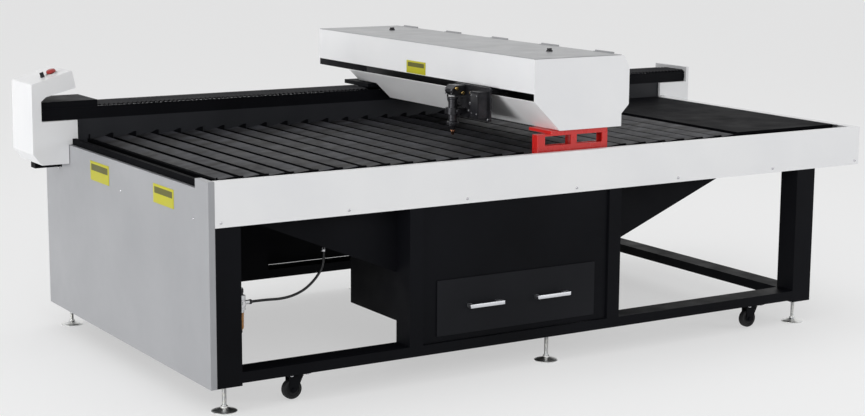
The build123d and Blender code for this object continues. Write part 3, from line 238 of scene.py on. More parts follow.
lamp("main lamp", (-3.6, -7.0, 4.2), (0, 0, 0.8), width=4.5, height=3.0, watts=100)
lamp("right lamp", (5.2, -6.0, 2.2), (0.6, 0, 0.6), width=3.0, height=2.0, watts=80)
lamp("left lamp", (-16.0, -2.0, 1.6), (0, 0, 0.9), width=9.0, height=3.0, watts=1260)
lamp("top lamp", (0.5, 1.0, 6.5), (0, 0, 0.8), width=5.0, height=4.0, watts=60)
bpy.context.scene.view_settings.view_transform = "Standard"
print("four lamps")

# %% [markdown]
# ## Finishes
# Every finish starts from one shader and gets its own colour drift, gloss drift and fine
# relief. A photograph of the metal could be wrapped round each piece, but noise on the
# object's own coordinates needs no unwrapping, stays on the metal when a part moves and
# has the real scale: one or two millimetres for the peel of powder coat, and down to a
# tenth for the grain of bare metal.

# %% The start of a finish
def shader_of(made):
    return made.node_tree.nodes["Principled BSDF"]


def finish(name, colour, roughness, metallic=0.0):
    made = bpy.data.materials.new(name)
    made.use_nodes = True
    shader = shader_of(made)
    shader.inputs["Base Color"].default_value = (*colour, 1)
    shader.inputs["Roughness"].default_value = roughness
    shader.inputs["Metallic"].default_value = metallic
    return made


def add(made, kind):
    return made.node_tree.nodes.new(kind)


def join(made, output, socket):
    made.node_tree.links.new(output, socket)


# %% A cloud of noise on the object's own coordinates
def cloud(made, scale, detail=3.0, stretch=(1, 1, 1)):
    place = add(made, "ShaderNodeTexCoord")
    sizing = add(made, "ShaderNodeMapping")
    sizing.inputs["Scale"].default_value = stretch
    noise = add(made, "ShaderNodeTexNoise")
    noise.inputs["Scale"].default_value = scale
    noise.inputs["Detail"].default_value = detail
    join(made, place.outputs["Object"], sizing.inputs["Vector"])
    join(made, sizing.outputs["Vector"], noise.inputs["Vector"])
    return noise.outputs["Fac"]


# %% [markdown]
# Noise is mostly near its middle, 0.5. So the colour drifts over the range from 0.35 to
# 0.65 and the gloss over that from 0.3 to 0.7, or nearly all of the surface would be alike.

# %% Drift of colour and gloss, and relief in metres
def drift_colour(made, pattern, first, second, low=0.35, high=0.65):
    ramp = add(made, "ShaderNodeValToRGB")
    ramp.color_ramp.elements[0].position = low
    ramp.color_ramp.elements[0].color = (*first, 1)
    ramp.color_ramp.elements[1].position = high
    ramp.color_ramp.elements[1].color = (*second, 1)
    join(made, pattern, ramp.inputs["Fac"])
    join(made, ramp.outputs["Color"], shader_of(made).inputs["Base Color"])


def drift_gloss(made, pattern, low, high):
    span = add(made, "ShaderNodeMapRange")
    span.inputs["From Min"].default_value = 0.3
    span.inputs["From Max"].default_value = 0.7
    span.inputs["To Min"].default_value = low
    span.inputs["To Max"].default_value = high
    join(made, pattern, span.inputs["Value"])
    join(made, span.outputs["Result"], shader_of(made).inputs["Roughness"])


def relief(made, pattern, depth):
    bump = add(made, "ShaderNodeBump")
    bump.inputs["Distance"].default_value = depth
    bump.inputs["Strength"].default_value = 1.0
    join(made, pattern, bump.inputs["Height"])
    join(made, bump.outputs["Normal"], shader_of(made).inputs["Normal"])


# %% [markdown]
# White powder coat covers the skirts, the hood and the console. It could be a plain white,
# but real coat is a little uneven: slow clouds of tone, and the fine peel of sprayed powder
# that breaks up its reflections. The left end cover is light grey and the lid grey, both darker
# copies of the white as painted shade, and the sheet under the hood's slot is a satin white,
# whiter than the rest as painted light.

# %% White and grey powder coat
def powder_coat(name, dark, light, rough, peel, shine=0.5):
    made = finish(name, light, sum(rough) / 2)
    shader_of(made).inputs["Specular IOR Level"].default_value = shine
    drift_colour(made, cloud(made, 2.2, 4.0), dark, light)
    drift_gloss(made, cloud(made, 9.0, 4.0), *rough)
    relief(made, cloud(made, 620.0, 2.0), peel)
    return made


white_coat = powder_coat("white powder coat", (0.765, 0.77, 0.785), (0.81, 0.813, 0.82),
                         rough=(0.30, 0.42), peel=0.00006)
# The light grey is a darker copy of the white coat: painted shade on the left end cover.
grey_and_painted_shade_coat = powder_coat("light grey powder coat with painted shade", (0.295, 0.30, 0.315), (0.335, 0.34, 0.355),
                        rough=(0.30, 0.42), peel=0.00006)
# The lid's grey is a darker copy of the white coat: painted shade on the lid's top.
lid_painted_shade_coat = powder_coat("lid grey powder coat with painted shade", (0.31, 0.315, 0.325), (0.35, 0.355, 0.365),
                       rough=(0.34, 0.46), peel=0.00006)
# The apron's satin white is whiter than the white coat: painted light on the down-facing sheet.
apron_painted_light_coat = powder_coat("satin apron coat with painted light", (0.84, 0.842, 0.85), (0.88, 0.882, 0.89),
                         rough=(0.34, 0.46), peel=0.00004)
shader_of(white_coat).inputs["Coat Weight"].default_value = 0.15
print("white, light grey, lid grey and apron coat")

# %% [markdown]
# The frame and everything under the table is matt black. Black shows dust and handling
# before anything else does, so its gloss drifts more than its colour. In a white room the
# mirror part of the light is what greys a black sheet, so it is turned down at the shader.

# %% Black, dark grey and red powder coat
black_coat = powder_coat("matt black powder coat", (0.0030, 0.0032, 0.0042), (0.0052, 0.0055, 0.0072),
                         rough=(0.46, 0.62), peel=0.00012, shine=0.05)
drawer_coat = powder_coat("drawer front coat", (0.0062, 0.0066, 0.0084), (0.0094, 0.0099, 0.0123),
                          rough=(0.42, 0.56), peel=0.00010, shine=0.09)
deck_coat = powder_coat("satin black sheet", (0.0036, 0.0037, 0.0045), (0.0052, 0.0054, 0.0066),
                        rough=(0.50, 0.62), peel=0.00004, shine=0.01)
wall_coat = powder_coat("dark grey sheet", (0.016, 0.017, 0.020), (0.022, 0.023, 0.027),
                        rough=(0.40, 0.52), peel=0.00006, shine=0.16)
red_coat = powder_coat("red powder coat", (0.50, 0.014, 0.012), (0.62, 0.022, 0.018),
                       rough=(0.24, 0.36), peel=0.00006)
print("black, drawer, deck, wall and red coat")

# %% [markdown]
# Slats are bare steel strips that work has darkened: a blue grey metal, with brown and
# black scorch in spots where the beam crossed them, and long rolling marks. Both could be
# painted by hand. Here the scorch is a noise whose cells are short along the strips, and
# the marks are one whose cells are drawn out along them.

# %% Scorched slat steel
slat_steel = finish("scorched slat steel", (0.03, 0.03, 0.035), 0.55, 0.15)
shader_of(slat_steel).inputs["Specular IOR Level"].default_value = 0.12
scorch = cloud(slat_steel, 7.0, 6.0, (1, 2.6, 3))
drift_colour(slat_steel, scorch, (0.011, 0.0104, 0.0106), (0.036, 0.037, 0.043), 0.34, 0.64)
drift_gloss(slat_steel, cloud(slat_steel, 16.0, 5.0), 0.48, 0.64)
relief(slat_steel, cloud(slat_steel, 60.0, 3.0, (3, 0.15, 3)), 0.00010)
print("slat steel")

# %% [markdown]
# Each strip leans. Its low side is darkened as painted shade, and its raised edge is
# brightened as a painted highlight. Height on the strip is the object's own Z, so a range
# from the low edge to the high one darkens the colour low and brightens it high. Noise is
# added to the height first, to break the line. Its mean lift is 0.45 of the strip's height,
# so the range starts and ends higher by that.

# %% Painted shade on the low side of the strips, painted highlight on their high edge
def painted_shade_and_highlight(made, low, high, dark, bright):
    shader = shader_of(made)
    colour = shader.inputs["Base Color"].links[0].from_socket
    place = add(made, "ShaderNodeTexCoord")
    parts = add(made, "ShaderNodeSeparateXYZ")
    ragged = add(made, "ShaderNodeMath")
    ragged.operation = "MULTIPLY_ADD"
    ragged.inputs[1].default_value = (high - low) * 0.9
    span = add(made, "ShaderNodeMapRange")
    span.inputs["From Min"].default_value = low + (high - low) * 0.45
    span.inputs["From Max"].default_value = high + (high - low) * 0.45
    span.inputs["To Min"].default_value = dark
    span.inputs["To Max"].default_value = bright
    shade = add(made, "ShaderNodeHueSaturation")
    join(made, place.outputs["Object"], parts.inputs["Vector"])
    join(made, cloud(made, 11.0, 4.0), ragged.inputs[0])
    join(made, parts.outputs["Z"], ragged.inputs[2])
    join(made, ragged.outputs[0], span.inputs["Value"])
    join(made, span.outputs["Result"], shade.inputs["Value"])
    join(made, colour, shade.inputs["Color"])
    join(made, shade.outputs["Color"], shader.inputs["Base Color"])


slat_low, slat_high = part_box("bed_slats")[0][2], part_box("bed_slats")[1][2]
# painted shade darkens each strip's low side and a painted highlight brightens its high edge
painted_shade_and_highlight(slat_steel, slat_low, slat_high, dark=0.22, bright=1.30)
print("strips from", slat_low, "to", slat_high)

# %% [markdown]
# Bare metal has a grain from drawing, brushing or grinding. Squeezing a noise along two
# axes leaves its cells as long hairs on the third, which costs less than drawing each
# scratch. The grain runs along the gantry on its beam, and along the machine on the
# handles and the guides.

# %% Bare metal with a grain
def brushed(name, dark, light, rough, stretch, depth=0.00003):
    made = finish(name, light, sum(rough) / 2, 1.0)
    grain = cloud(made, 40.0, 5.0, stretch)
    drift_colour(made, grain, dark, light, 0.25, 0.75)
    drift_gloss(made, grain, *rough)
    relief(made, grain, depth)
    return made


# The beam's metal is near black: painted shade for the dark inside of the hood's slot.
beam_metal_painted_shade = brushed("drawn beam darkened as painted shade", (0.018, 0.018, 0.020), (0.030, 0.030, 0.033),
                     rough=(0.36, 0.50), stretch=(10, 0.1, 10))
handle_metal = brushed("grey handle bar", (0.56, 0.57, 0.60), (0.70, 0.71, 0.74),
                       rough=(0.30, 0.42), stretch=(0.2, 9, 9))
rail_steel = brushed("ground guide steel", (0.46, 0.47, 0.50), (0.62, 0.63, 0.66),
                     rough=(0.14, 0.26), stretch=(0.1, 12, 12))
steel = brushed("bright screw steel", (0.42, 0.42, 0.44), (0.62, 0.62, 0.64),
                rough=(0.18, 0.30), stretch=(1, 1, 1))
brass = brushed("brass", (0.50, 0.34, 0.11), (0.66, 0.47, 0.18), rough=(0.18, 0.32), stretch=(1, 1, 1))
copper = brushed("nozzle copper", (0.46, 0.21, 0.12), (0.62, 0.31, 0.18),
                 rough=(0.20, 0.36), stretch=(1, 1, 1))
print("three drawn or ground metals, screw steel, brass and copper")

# %% [markdown]
# Zinc on the feet is bright but cloudy: small patches of crystal with a faint yellow or
# blue cast, which a fine noise between two close tones gives.

# %% Zinc plate
zinc = finish("zinc plate", (0.66, 0.66, 0.63), 0.30, 1.0)
drift_colour(zinc, cloud(zinc, 90.0, 4.0), (0.60, 0.61, 0.62), (0.76, 0.757, 0.73))
drift_gloss(zinc, cloud(zinc, 140.0, 4.0), 0.28, 0.40)
relief(zinc, cloud(zinc, 500.0, 2.0), 0.00002)
print("zinc")

# %% [markdown]
# The head is black anodised aluminium. Anodising keeps the metal's sheen under a dark
# film, so it is a dark metal, not a black paint. Moulded plastic, rubber, the hoses and
# the bellows' cloth have no metal in them: they differ from each other in gloss and in how
# coarse their relief is, so the powder coat's recipe serves them with other numbers.

# %% Anodised, plastic, rubber and cloth
anodised = finish("black anodised aluminium", (0.022, 0.022, 0.025), 0.34, 0.6)
drift_colour(anodised, cloud(anodised, 30.0, 4.0), (0.016, 0.016, 0.019), (0.032, 0.032, 0.037))
drift_gloss(anodised, cloud(anodised, 60.0, 4.0), 0.26, 0.44)
relief(anodised, cloud(anodised, 900.0, 2.0), 0.00003)
dark_plastic = powder_coat("dark moulded plastic", (0.008, 0.008, 0.010), (0.013, 0.013, 0.016),
                           rough=(0.32, 0.46), peel=0.00008, shine=0.30)
button_red = powder_coat("red moulded button", (0.27, 0.014, 0.012), (0.34, 0.020, 0.016),
                         rough=(0.20, 0.30), peel=0.00002)
collar_grey = powder_coat("pale moulded collar", (0.55, 0.55, 0.54), (0.63, 0.63, 0.62),
                          rough=(0.30, 0.42), peel=0.00004)
rubber = powder_coat("black rubber", (0.006, 0.006, 0.007), (0.011, 0.011, 0.012),
                     rough=(0.62, 0.82), peel=0.0002, shine=0.25)
hose_black = powder_coat("black hose", (0.006, 0.006, 0.007), (0.010, 0.010, 0.012),
                         rough=(0.24, 0.36), peel=0.00004, shine=0.30)
cloth = powder_coat("bellows cloth", (0.010, 0.010, 0.012), (0.018, 0.018, 0.021),
                    rough=(0.66, 0.82), peel=0.00015, shine=0.12)
shader_of(cloth).inputs["Sheen Weight"].default_value = 0.03
cast_metal = powder_coat("die cast body", (0.52, 0.53, 0.54), (0.64, 0.65, 0.66),
                         rough=(0.30, 0.44), peel=0.00012)
shader_of(cast_metal).inputs["Metallic"].default_value = 0.9
print("head, plastics, rubber and cloth")

# %% [markdown]
# Two pieces let light through: the amber bowl under the regulator and the glass laser
# tube, which only shows when the lid is open. Part of the light passes and part is thrown
# back in the surface's colour, as in a tinted or dusty piece.

# %% Amber and glass
amber = finish("amber bowl", (0.75, 0.36, 0.09), 0.12)
drift_colour(amber, cloud(amber, 40.0, 3.0), (0.60, 0.26, 0.05), (0.82, 0.42, 0.12))
shader_of(amber).inputs["Transmission Weight"].default_value = 0.55
glass = finish("tube glass", (0.86, 0.90, 0.92), 0.05)
drift_colour(glass, cloud(glass, 12.0, 2.0), (0.80, 0.85, 0.88), (0.90, 0.94, 0.95))
shader_of(glass).inputs["Transmission Weight"].default_value = 0.7
print("amber and glass")

# %% [markdown]
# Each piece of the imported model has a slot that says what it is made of, so one table
# from slot to finish dresses all of them. Four pieces have a coat of their own.

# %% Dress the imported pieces
finishes = {
    "white_paint": white_coat, "grey_paint": grey_and_painted_shade_coat, "black_paint": black_coat,
    "black_deck": deck_coat, "slat_steel": slat_steel, "ground_steel": rail_steel,
    "bellows_fabric": cloth, "brushed_aluminium": apron_painted_light_coat, "beam_aluminium": beam_metal_painted_shade,
    "black_anodised": anodised, "red_paint": red_coat, "red_button": button_red,
    "dark_plastic": dark_plastic, "grey_bar": handle_metal, "tube_glass": glass,
    "cast_metal": cast_metal, "amber_bowl": amber, "black_hose": hose_black,
    "rubber": rubber, "zinc": zinc,
}
own_coats = {"rear_wall": wall_coat, "left_end_cover": grey_and_painted_shade_coat, "tube_lid": lid_painted_shade_coat,
             "dust_drawer": drawer_coat}
slot_of = {part["node"]: part["material_slot"] for part in frame["record"]["subparts"]}
for name, piece in nodes.items():
    for slot in piece.material_slots:
        slot.material = own_coats.get(name, finishes[slot_of[name]])
air_hose.data.materials.append(hose_black)
head_hose.data.materials.append(hose_black)
print(len(finishes), "finishes on", len(nodes), "nodes")

# %% [markdown]
# ## Small pieces
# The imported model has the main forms. What follows adds what a hand would find on the real
# machine. Round pieces are turned: a disc is extruded and scaled ring by ring, the way a
# lathe would cut it. Flat pieces start as a block whose edges are then broken with a bevel.
# Each piece ends at the scene's origin with its place in its mesh, smooth up to an angle of
# 32 degrees, and rides with the body that it is fixed to.

# %% Clearing the selection, and settling a finished piece
def clear():
    if bpy.context.mode != "OBJECT":
        bpy.ops.object.mode_set(mode="OBJECT")
    bpy.ops.object.select_all(action="DESELECT")


def settle(piece, name, made, body):
    clear()
    piece.select_set(True)
    bpy.context.view_layer.objects.active = piece
    bpy.ops.object.transform_apply(location=True, rotation=True, scale=True)
    piece.name = name
    piece.data.name = name
    piece.data.materials.clear()
    piece.data.materials.append(made)
    bpy.ops.object.shade_smooth_by_angle(angle=math.radians(32))
    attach(piece, body)
    return piece


# %% A turned piece, from rings of (radius, height)
def turned(name, rings, place, along, made, body, sides=32):
    clear()
    radius, height = rings[0]
    bpy.ops.mesh.primitive_circle_add(vertices=sides, radius=radius / 1000, fill_type="NGON",
                                      location=(0, 0, 0))
    piece = bpy.context.object
    bpy.ops.object.mode_set(mode="EDIT")
    bpy.ops.mesh.select_all(action="SELECT")
    bpy.ops.transform.translate(value=(0, 0, height / 1000))
    for (r0, h0), (r1, h1) in zip(rings, rings[1:]):
        bpy.ops.mesh.extrude_region_move(TRANSFORM_OT_translate={"value": (0, 0, (h1 - h0) / 1000)})
        bpy.ops.transform.resize(value=(r1 / r0, r1 / r0, 1))
    bpy.ops.mesh.select_all(action="SELECT")
    bpy.ops.mesh.normals_make_consistent(inside=False)
    bpy.ops.object.mode_set(mode="OBJECT")
    turn = Vector((0, 0, 1)).rotation_difference(Vector(along)).to_matrix().to_4x4()
    piece.matrix_world = Matrix.Translation(place) @ turn
    return settle(piece, name, made, body)


# %% A copy with its own mesh, moved in millimetres
def again(piece, name, shift):
    clear()
    copy = piece.copy()
    copy.data = piece.data.copy()
    bpy.context.scene.collection.objects.link(copy)
    copy.name = name
    copy.data.name = name
    copy.data.transform(Matrix.Translation(Vector(shift) / 1000))


# %% A plain block, and one with broken edges
def plain_block(low, high):
    clear()
    bpy.ops.mesh.primitive_cube_add(size=1, location=(low + high) / 2)
    piece = bpy.context.object
    piece.scale = high - low
    bpy.ops.object.transform_apply(location=True, rotation=True, scale=True)
    return piece


def block(name, low, high, rounding, made, body):
    piece = plain_block(at(*low), at(*high))
    bpy.ops.object.mode_set(mode="EDIT")
    bpy.ops.mesh.select_all(action="SELECT")
    bpy.ops.mesh.bevel(offset=rounding / 1000, segments=2, affect="EDGES")
    bpy.ops.object.mode_set(mode="OBJECT")
    return settle(piece, name, made, body)


# %% Picking faces by a test, in edit mode
def pick(piece, test):
    bpy.ops.mesh.select_mode(type="FACE")
    bpy.ops.mesh.select_all(action="DESELECT")
    mesh = bmesh.from_edit_mesh(piece.data)
    for face in mesh.faces:
        face.select_set(bool(test(face)))
    bmesh.update_edit_mesh(piece.data)


print("tools ready")

# %% [markdown]
# Button-head screws hold the skirt and the end cover. For each of the two, one screw is
# turned with a domed head and a socket, then copied to every place along the lower edge.

# %% Cover screws
screw_rings = [(5.4, 0), (5.8, 0.2), (5.8, 0.8), (5.2, 1.6), (4.0, 2.2), (2.9, 2.45), (2.5, 2.45),
               (2.4, 1.0), (0.4, 0.8)]
screw_height = 702
skirt_step, end_step = 515, 681
table_length, last_screw_inset = 3100, 46

screw = turned("skirt_screw_1", screw_rings, at(23, 0, screw_height), (0, -1, 0),
               steel, "table", 24)
for number in range(1, 6):
    again(screw, "skirt_screw_%d" % (number + 1), (skirt_step * number, 0, 0))
again(screw, "skirt_screw_7", (table_length - last_screw_inset, 0, 0))
end_screw = turned("end_screw_1", screw_rings, at(-25, 130, screw_height), (-1, 0, 0),
                   steel, "table", 24)
for number in (1, 2):
    again(end_screw, "end_screw_%d" % (number + 1), (0, end_step * number, 0))
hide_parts("cover_screws")
print("ten cover screws")

# %% [markdown]
# Three yellow plates sit on the covers. They are left blank, with a darker band in the
# upper half. The band could be a texture, but cutting the plate's face along the band's
# edges and giving the face between the cuts its own finish keeps a sharp edge.

# %% Yellow plates
plate_yellow = powder_coat("yellow plate", (0.44, 0.415, 0.014), (0.52, 0.49, 0.022),
                           rough=(0.34, 0.46), peel=0.00003, shine=0.25)
plate_olive = powder_coat("olive band", (0.088, 0.086, 0.012), (0.125, 0.12, 0.018),
                          rough=(0.34, 0.48), peel=0.00003, shine=0.25)
band_bottom, band_top = 0.52, 0.86
band_margin = 12


def yellow_plate(name, low, high, body):
    piece = block(name, low, high, 0.5, plate_yellow, body)
    piece.data.materials.append(plate_olive)
    bottom, height = at(*low).z, at(*high).z - at(*low).z
    first, second = bottom + band_bottom * height, bottom + band_top * height
    left, right = at(*low).y + band_margin / 1000, at(*high).y - band_margin / 1000
    bpy.context.view_layer.objects.active = piece
    bpy.ops.object.mode_set(mode="EDIT")
    for level_cut in (first, second):
        bpy.ops.mesh.select_all(action="SELECT")
        bpy.ops.mesh.bisect(plane_co=(0, 0, level_cut), plane_no=(0, 0, 1))
    for upright_cut in (left, right):
        bpy.ops.mesh.select_all(action="SELECT")
        bpy.ops.mesh.bisect(plane_co=(0, upright_cut, 0), plane_no=(0, 1, 0))
    bpy.ops.object.mode_set(mode="OBJECT")
    for face in piece.data.polygons:
        inside = first < face.center.z < second and left < face.center.y < right
        face.material_index = 1 if inside and face.normal.x < -0.9 else 0


yellow_plate("yellow_plate_far", (-26.2, 924, 705), (-25, 1122, 783), "table")
yellow_plate("yellow_plate_near", (-26.2, 297, 709), (-25, 485, 781), "table")
yellow_plate("yellow_plate_hood", (1375.8, 838, 1082), (1377, 995, 1136), "gantry")
print("three blank yellow plates")

# %% [markdown]
# The machine stands on six levelling feet: a domed pad, a threaded stem and a lock nut. The
# thread is cut as rings two millimetres apart, which reads as a thread from any distance at
# which a person would stand, and costs far less than a helix.

# %% One levelling foot, up to its seat under the leg or rail
thread_pitch = 2.0


def foot_stem(seat):
    rings = [(46.5, 0), (47.5, 1.5), (47.5, 4.0), (45.0, 5.4), (33.5, 9.0), (20.0, 13.0), (14.0, 15.5),
             (13.0, 17.0), (13.0, 21.0), (12.0, 22.0), (8.2, 22.0)]
    height = 24.0
    while height < seat + 12:
        rings += [(8.0, height), (7.1, height + thread_pitch / 2)]
        height += thread_pitch
    return rings + [(6.6, seat + 14)]


# %% Six levelling feet
rows = {"front": 52, "rear": 1588}
foot_columns = {"left": 50, "middle": 1470, "right": 2795}
seats = {"left": 100, "middle": 110, "right": 100}

for row, y in rows.items():
    for column, x in foot_columns.items():
        name, seat = row + "_" + column, seats[column]
        body = "levelling_foot_" + name
        stem = turned("foot_stem_" + name, foot_stem(seat), at(x, y, 0), (0, 0, 1),
                      zinc, body, 36)
        nut = [(10.6, seat - 11.4), (12.0, seat - 10.4), (12.0, seat - 1.6), (10.6, seat - 0.6)]
        turned("foot_nut_" + name, nut, at(x, y, 0), (0, 0, 1), steel, body, 6)
        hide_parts("foot_" + name)
print("six levelling feet")

# %% [markdown]
# The casters hang just clear of the floor while the feet carry the machine. The wheel is
# turned with a rounded tread and a recessed disc, the axle ends in a nut, and four bolts
# hold the top plate.

# %% Shapes of wheel, axle nut and bolt
tread = [(9.0, -14), (10.5, -14), (11.5, -9.0), (25.0, -8.4), (27.0, -12.4), (33.5, -12.4), (36.6, -11.4),
         (37.7, -8.6), (38.0, -4.0), (38.0, 4.0), (37.7, 8.6), (36.6, 11.4), (33.5, 12.4), (27.0, 12.4),
         (25.0, 8.4), (11.5, 9.0), (10.5, 14.0), (9.0, 14.0)]
axle_nut = [(7.6, 0), (8.2, 0.6), (8.2, 4.6), (7.4, 5.4), (5.4, 5.5), (5.2, 7.0), (0.5, 7.2)]
plate_bolt = [(6.0, 0), (6.6, -0.6), (6.6, -4.0), (6.0, -4.6)]
print("wheel of", max(radius for radius, height in tread), "mm radius")

# %% Caster wheels and bolts
caster_columns = {"left": 340, "right": 2550}
trail, hub_height, nut_out = 18, 46, 17.6
plate_height, bolt_out = 106, 32

for row, y in rows.items():
    for column, x in caster_columns.items():
        name = row + "_" + column
        wheel = turned("caster_tread_" + name, tread, at(x - trail, y, hub_height), (0, 1, 0),
                       rubber, "wheel_" + name, 48)
        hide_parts("caster_wheel_" + name)
        for side in (-1, 1):
            turned("axle_nut_%s_%d" % (name, side), axle_nut, at(x - trail, y + side * nut_out, hub_height),
                   (0, side, 0), black_coat, "caster_" + name, 6)
        for i, (dx, dy) in enumerate(((-1, -1), (1, -1), (-1, 1), (1, 1))):
            turned("plate_bolt_%s_%d" % (name, i), plate_bolt,
                   at(x + dx * bolt_out, y + dy * bolt_out, plate_height), (0, 0, 1),
                   steel, "table", 6)
print("four casters")

# %% [markdown]
# The air regulator has a ribbed cap, a small dial and an amber bowl whose lower end is a
# black drain. The ribs could be cut out of the cap, but one small rib set round it twenty
# times looks the same and keeps the cap a simple turning.

# %% Regulator cap with its ribs
regulator_x, regulator_y = 129, 78
cap_radius, cap_ribs = 13.2, 20
cap_rings = [(12.0, 0), (12.6, 0.8), (12.6, 8.0), (cap_radius, 8.2), (cap_radius, 22.0), (12.2, 24.6),
             (9.5, 25.6), (0.6, 26.0)]
rib_rings = [(0.7, 0), (0.9, 0.4), (0.9, 12.6), (0.6, 13.0)]

turned("regulator_cap", cap_rings, at(regulator_x, regulator_y, 416.4), (0, 0, 1),
       dark_plastic, "table", 40)
rib = turned("cap_rib_0", rib_rings, at(regulator_x + cap_radius, regulator_y, 425), (0, 0, 1),
             dark_plastic, "table", 8)
for number in range(1, cap_ribs):
    turn = number * math.tau / cap_ribs
    again(rib, "cap_rib_%d" % number, (cap_radius * (math.cos(turn) - 1), cap_radius * math.sin(turn), 0))
print("cap with", cap_ribs, "ribs")

# %% Dial
dial_height = 386
dial_rings = [(14.0, 0), (14.6, 0.6), (14.6, 7.0), (14.0, 7.8), (12.6, 7.8), (12.4, 6.4), (0.5, 6.4)]
turned("dial_ring", dial_rings, at(regulator_x, 61, dial_height), (0, -1, 0),
       steel, "table", 40)
turned("dial_face", [(12.2, 0), (12.2, 0.6), (0.4, 0.7)], at(regulator_x, 54.8, dial_height), (0, -1, 0),
       white_coat, "table", 40)
block("dial_needle", (128.4, 53.2, 384), (129.6, 54.0, 395), 0.25, dark_plastic, "table")
print("dial")

# %% Amber bowl, its drain and its guard ring
bowl_rings = [(6.0, 0), (7.6, 0.8), (7.6, 8.0), (12.4, 13.0), (14.0, 18.0), (15.0, 76.0), (15.6, 77.0),
              (15.6, 83.6)]
drain_rings = [(8.4, 0), (9.0, 0.6), (9.0, 7.0), (8.2, 8.0), (8.1, 8.0)]
guard_rings = [(15.7, 0), (16.4, 0.5), (16.4, 9.0), (15.8, 9.5)]
bowl = turned("amber_bowl", bowl_rings, at(regulator_x, regulator_y, 278.2), (0, 0, 1),
              amber, "table", 40)
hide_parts("filter_bowl")
turned("bowl_drain", drain_rings, at(regulator_x, regulator_y, 277.4), (0, 0, 1),
       dark_plastic, "table", 24)
turned("bowl_guard", guard_rings, at(regulator_x, regulator_y, 352.5), (0, 0, 1),
       cast_metal, "table", 40)
print("bowl", bowl.dimensions)

# %% Nuts at both ends of the air hose
hose_nut = [(6.0, 0), (8.6, 0.4), (9.0, 1.2), (9.0, 9.0), (8.2, 10.2), (5.4, 10.4)]
hopper_nut = [(5.4, 0), (8.8, 0.6), (9.4, 1.6), (9.4, 8.0), (8.4, 9.2), (8.2, 16.0)]
turned("hose_nut", hose_nut, at(166, 80, 386), (1, 0, 0), dark_plastic, "table", 24)
turned("hopper_nut", hopper_nut, at(502, 131, 530), (0, 0, 1), steel, "table", 6)
print("hose nuts")

# %% [markdown]
# The drawer's two handles are flat bows, wider than they are deep, with feet that turn into
# the front. A bow could be swept along a path, but a block whose end faces are extruded
# towards the drawer has the same shape, and a bevel then rounds all of its edges at once.

# %% Drawer handles
half_grip, foot_width, foot_depth = 64, 15, 21.7
bow_front, bow_back = -23, -14.6
bow_bottom, bow_top = 275.4, 290.6
bow_rounding = 2.2


def bow_handle(name, middle):
    piece = plain_block(at(middle - half_grip, bow_front, bow_bottom),
                        at(middle + half_grip, bow_back, bow_top))
    bpy.ops.object.mode_set(mode="EDIT")
    for side in (1, -1):
        end = at(middle + side * half_grip, 0, 0).x
        pick(piece, lambda face: face.normal.x * side > 0.9)
        bpy.ops.mesh.extrude_region_move(TRANSFORM_OT_translate={"value": (side * foot_width / 1000, 0, 0)})
        pick(piece, lambda face: face.normal.y > 0.9 and (face.calc_center_median().x - end) * side > 0)
        bpy.ops.mesh.extrude_region_move(TRANSFORM_OT_translate={"value": (0, foot_depth / 1000, 0)})
    bpy.ops.mesh.select_all(action="SELECT")
    bpy.ops.mesh.bevel(offset=bow_rounding / 1000, segments=3, affect="EDGES")
    bpy.ops.object.mode_set(mode="OBJECT")
    return settle(piece, name, handle_metal, "drawer")


left_bow = bow_handle("drawer_bow_left", 1139)
bow_handle("drawer_bow_right", 1455)
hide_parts("drawer_handles")
print("handles", left_bow.dimensions)

# %% [markdown]
# Over the door of the electrical box a drip edge closes the gap to the table. On the real
# machine it is a folded strip, but only its front and lower edge show, so a thin block with
# broken edges is enough.

# %% Drip edge
block("door_drip_edge", (104, 1640.3, 678), (904, 1647.6, 690), 0.8, white_coat, "table")
print("drip edge")

# %% [markdown]
# The sheet under the hood's slot ends beside the rear carriage, and a black strip stands in
# the slot where the head never comes, as painted shade for the dark inside of the slot. The
# sheet is the imported one with its tail cut off by one bisecting plane, so its folds stay
# exactly where they are. The imported mesh is loose triangles, so the copy is merged before it is cut.

# %% Apron
apron_end = 1506

apron = nodes["gantry_apron"].copy()
apron.data = nodes["gantry_apron"].data.copy()
bpy.context.scene.collection.objects.link(apron)
apron.name = "apron_sheet"
apron.parent = None
apron.matrix_world = Matrix.Identity(4)
for key in [key for key in apron.keys() if key.startswith("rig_")]:
    del apron[key]
clear()
apron.select_set(True)
bpy.context.view_layer.objects.active = apron
bpy.ops.object.mode_set(mode="EDIT")
bpy.ops.mesh.select_all(action="SELECT")
bpy.ops.mesh.remove_doubles(threshold=0.00001)
bpy.ops.mesh.select_all(action="SELECT")
bpy.ops.mesh.bisect(plane_co=at(0, apron_end, 0), plane_no=(0, 1, 0), use_fill=True, clear_outer=True)
bpy.ops.object.mode_set(mode="OBJECT")
settle(apron, "apron_sheet", apron_painted_light_coat, "gantry")
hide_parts("gantry_apron")
print("apron", apron.dimensions)

# %% Painted shade at the far end of the slot: a black strip
block("slot_shade_strip", (1379.0, 1350, 1051), (1380.4, 1790, 1079.5), 0.3, black_coat, "gantry")
print("strip at the far end of the slot")

# %% [markdown]
# The rail is covered by bellows that fold up in front of the gantry and draw out behind it.
# A grid whose every second column is lowered has the folds.

# %% Bellows
rail_y, cloth_width = 1445, 137
ridge_height, middle_height = 976.8, 972
fold_depth, cloth_thickness = 5.8, 3.2


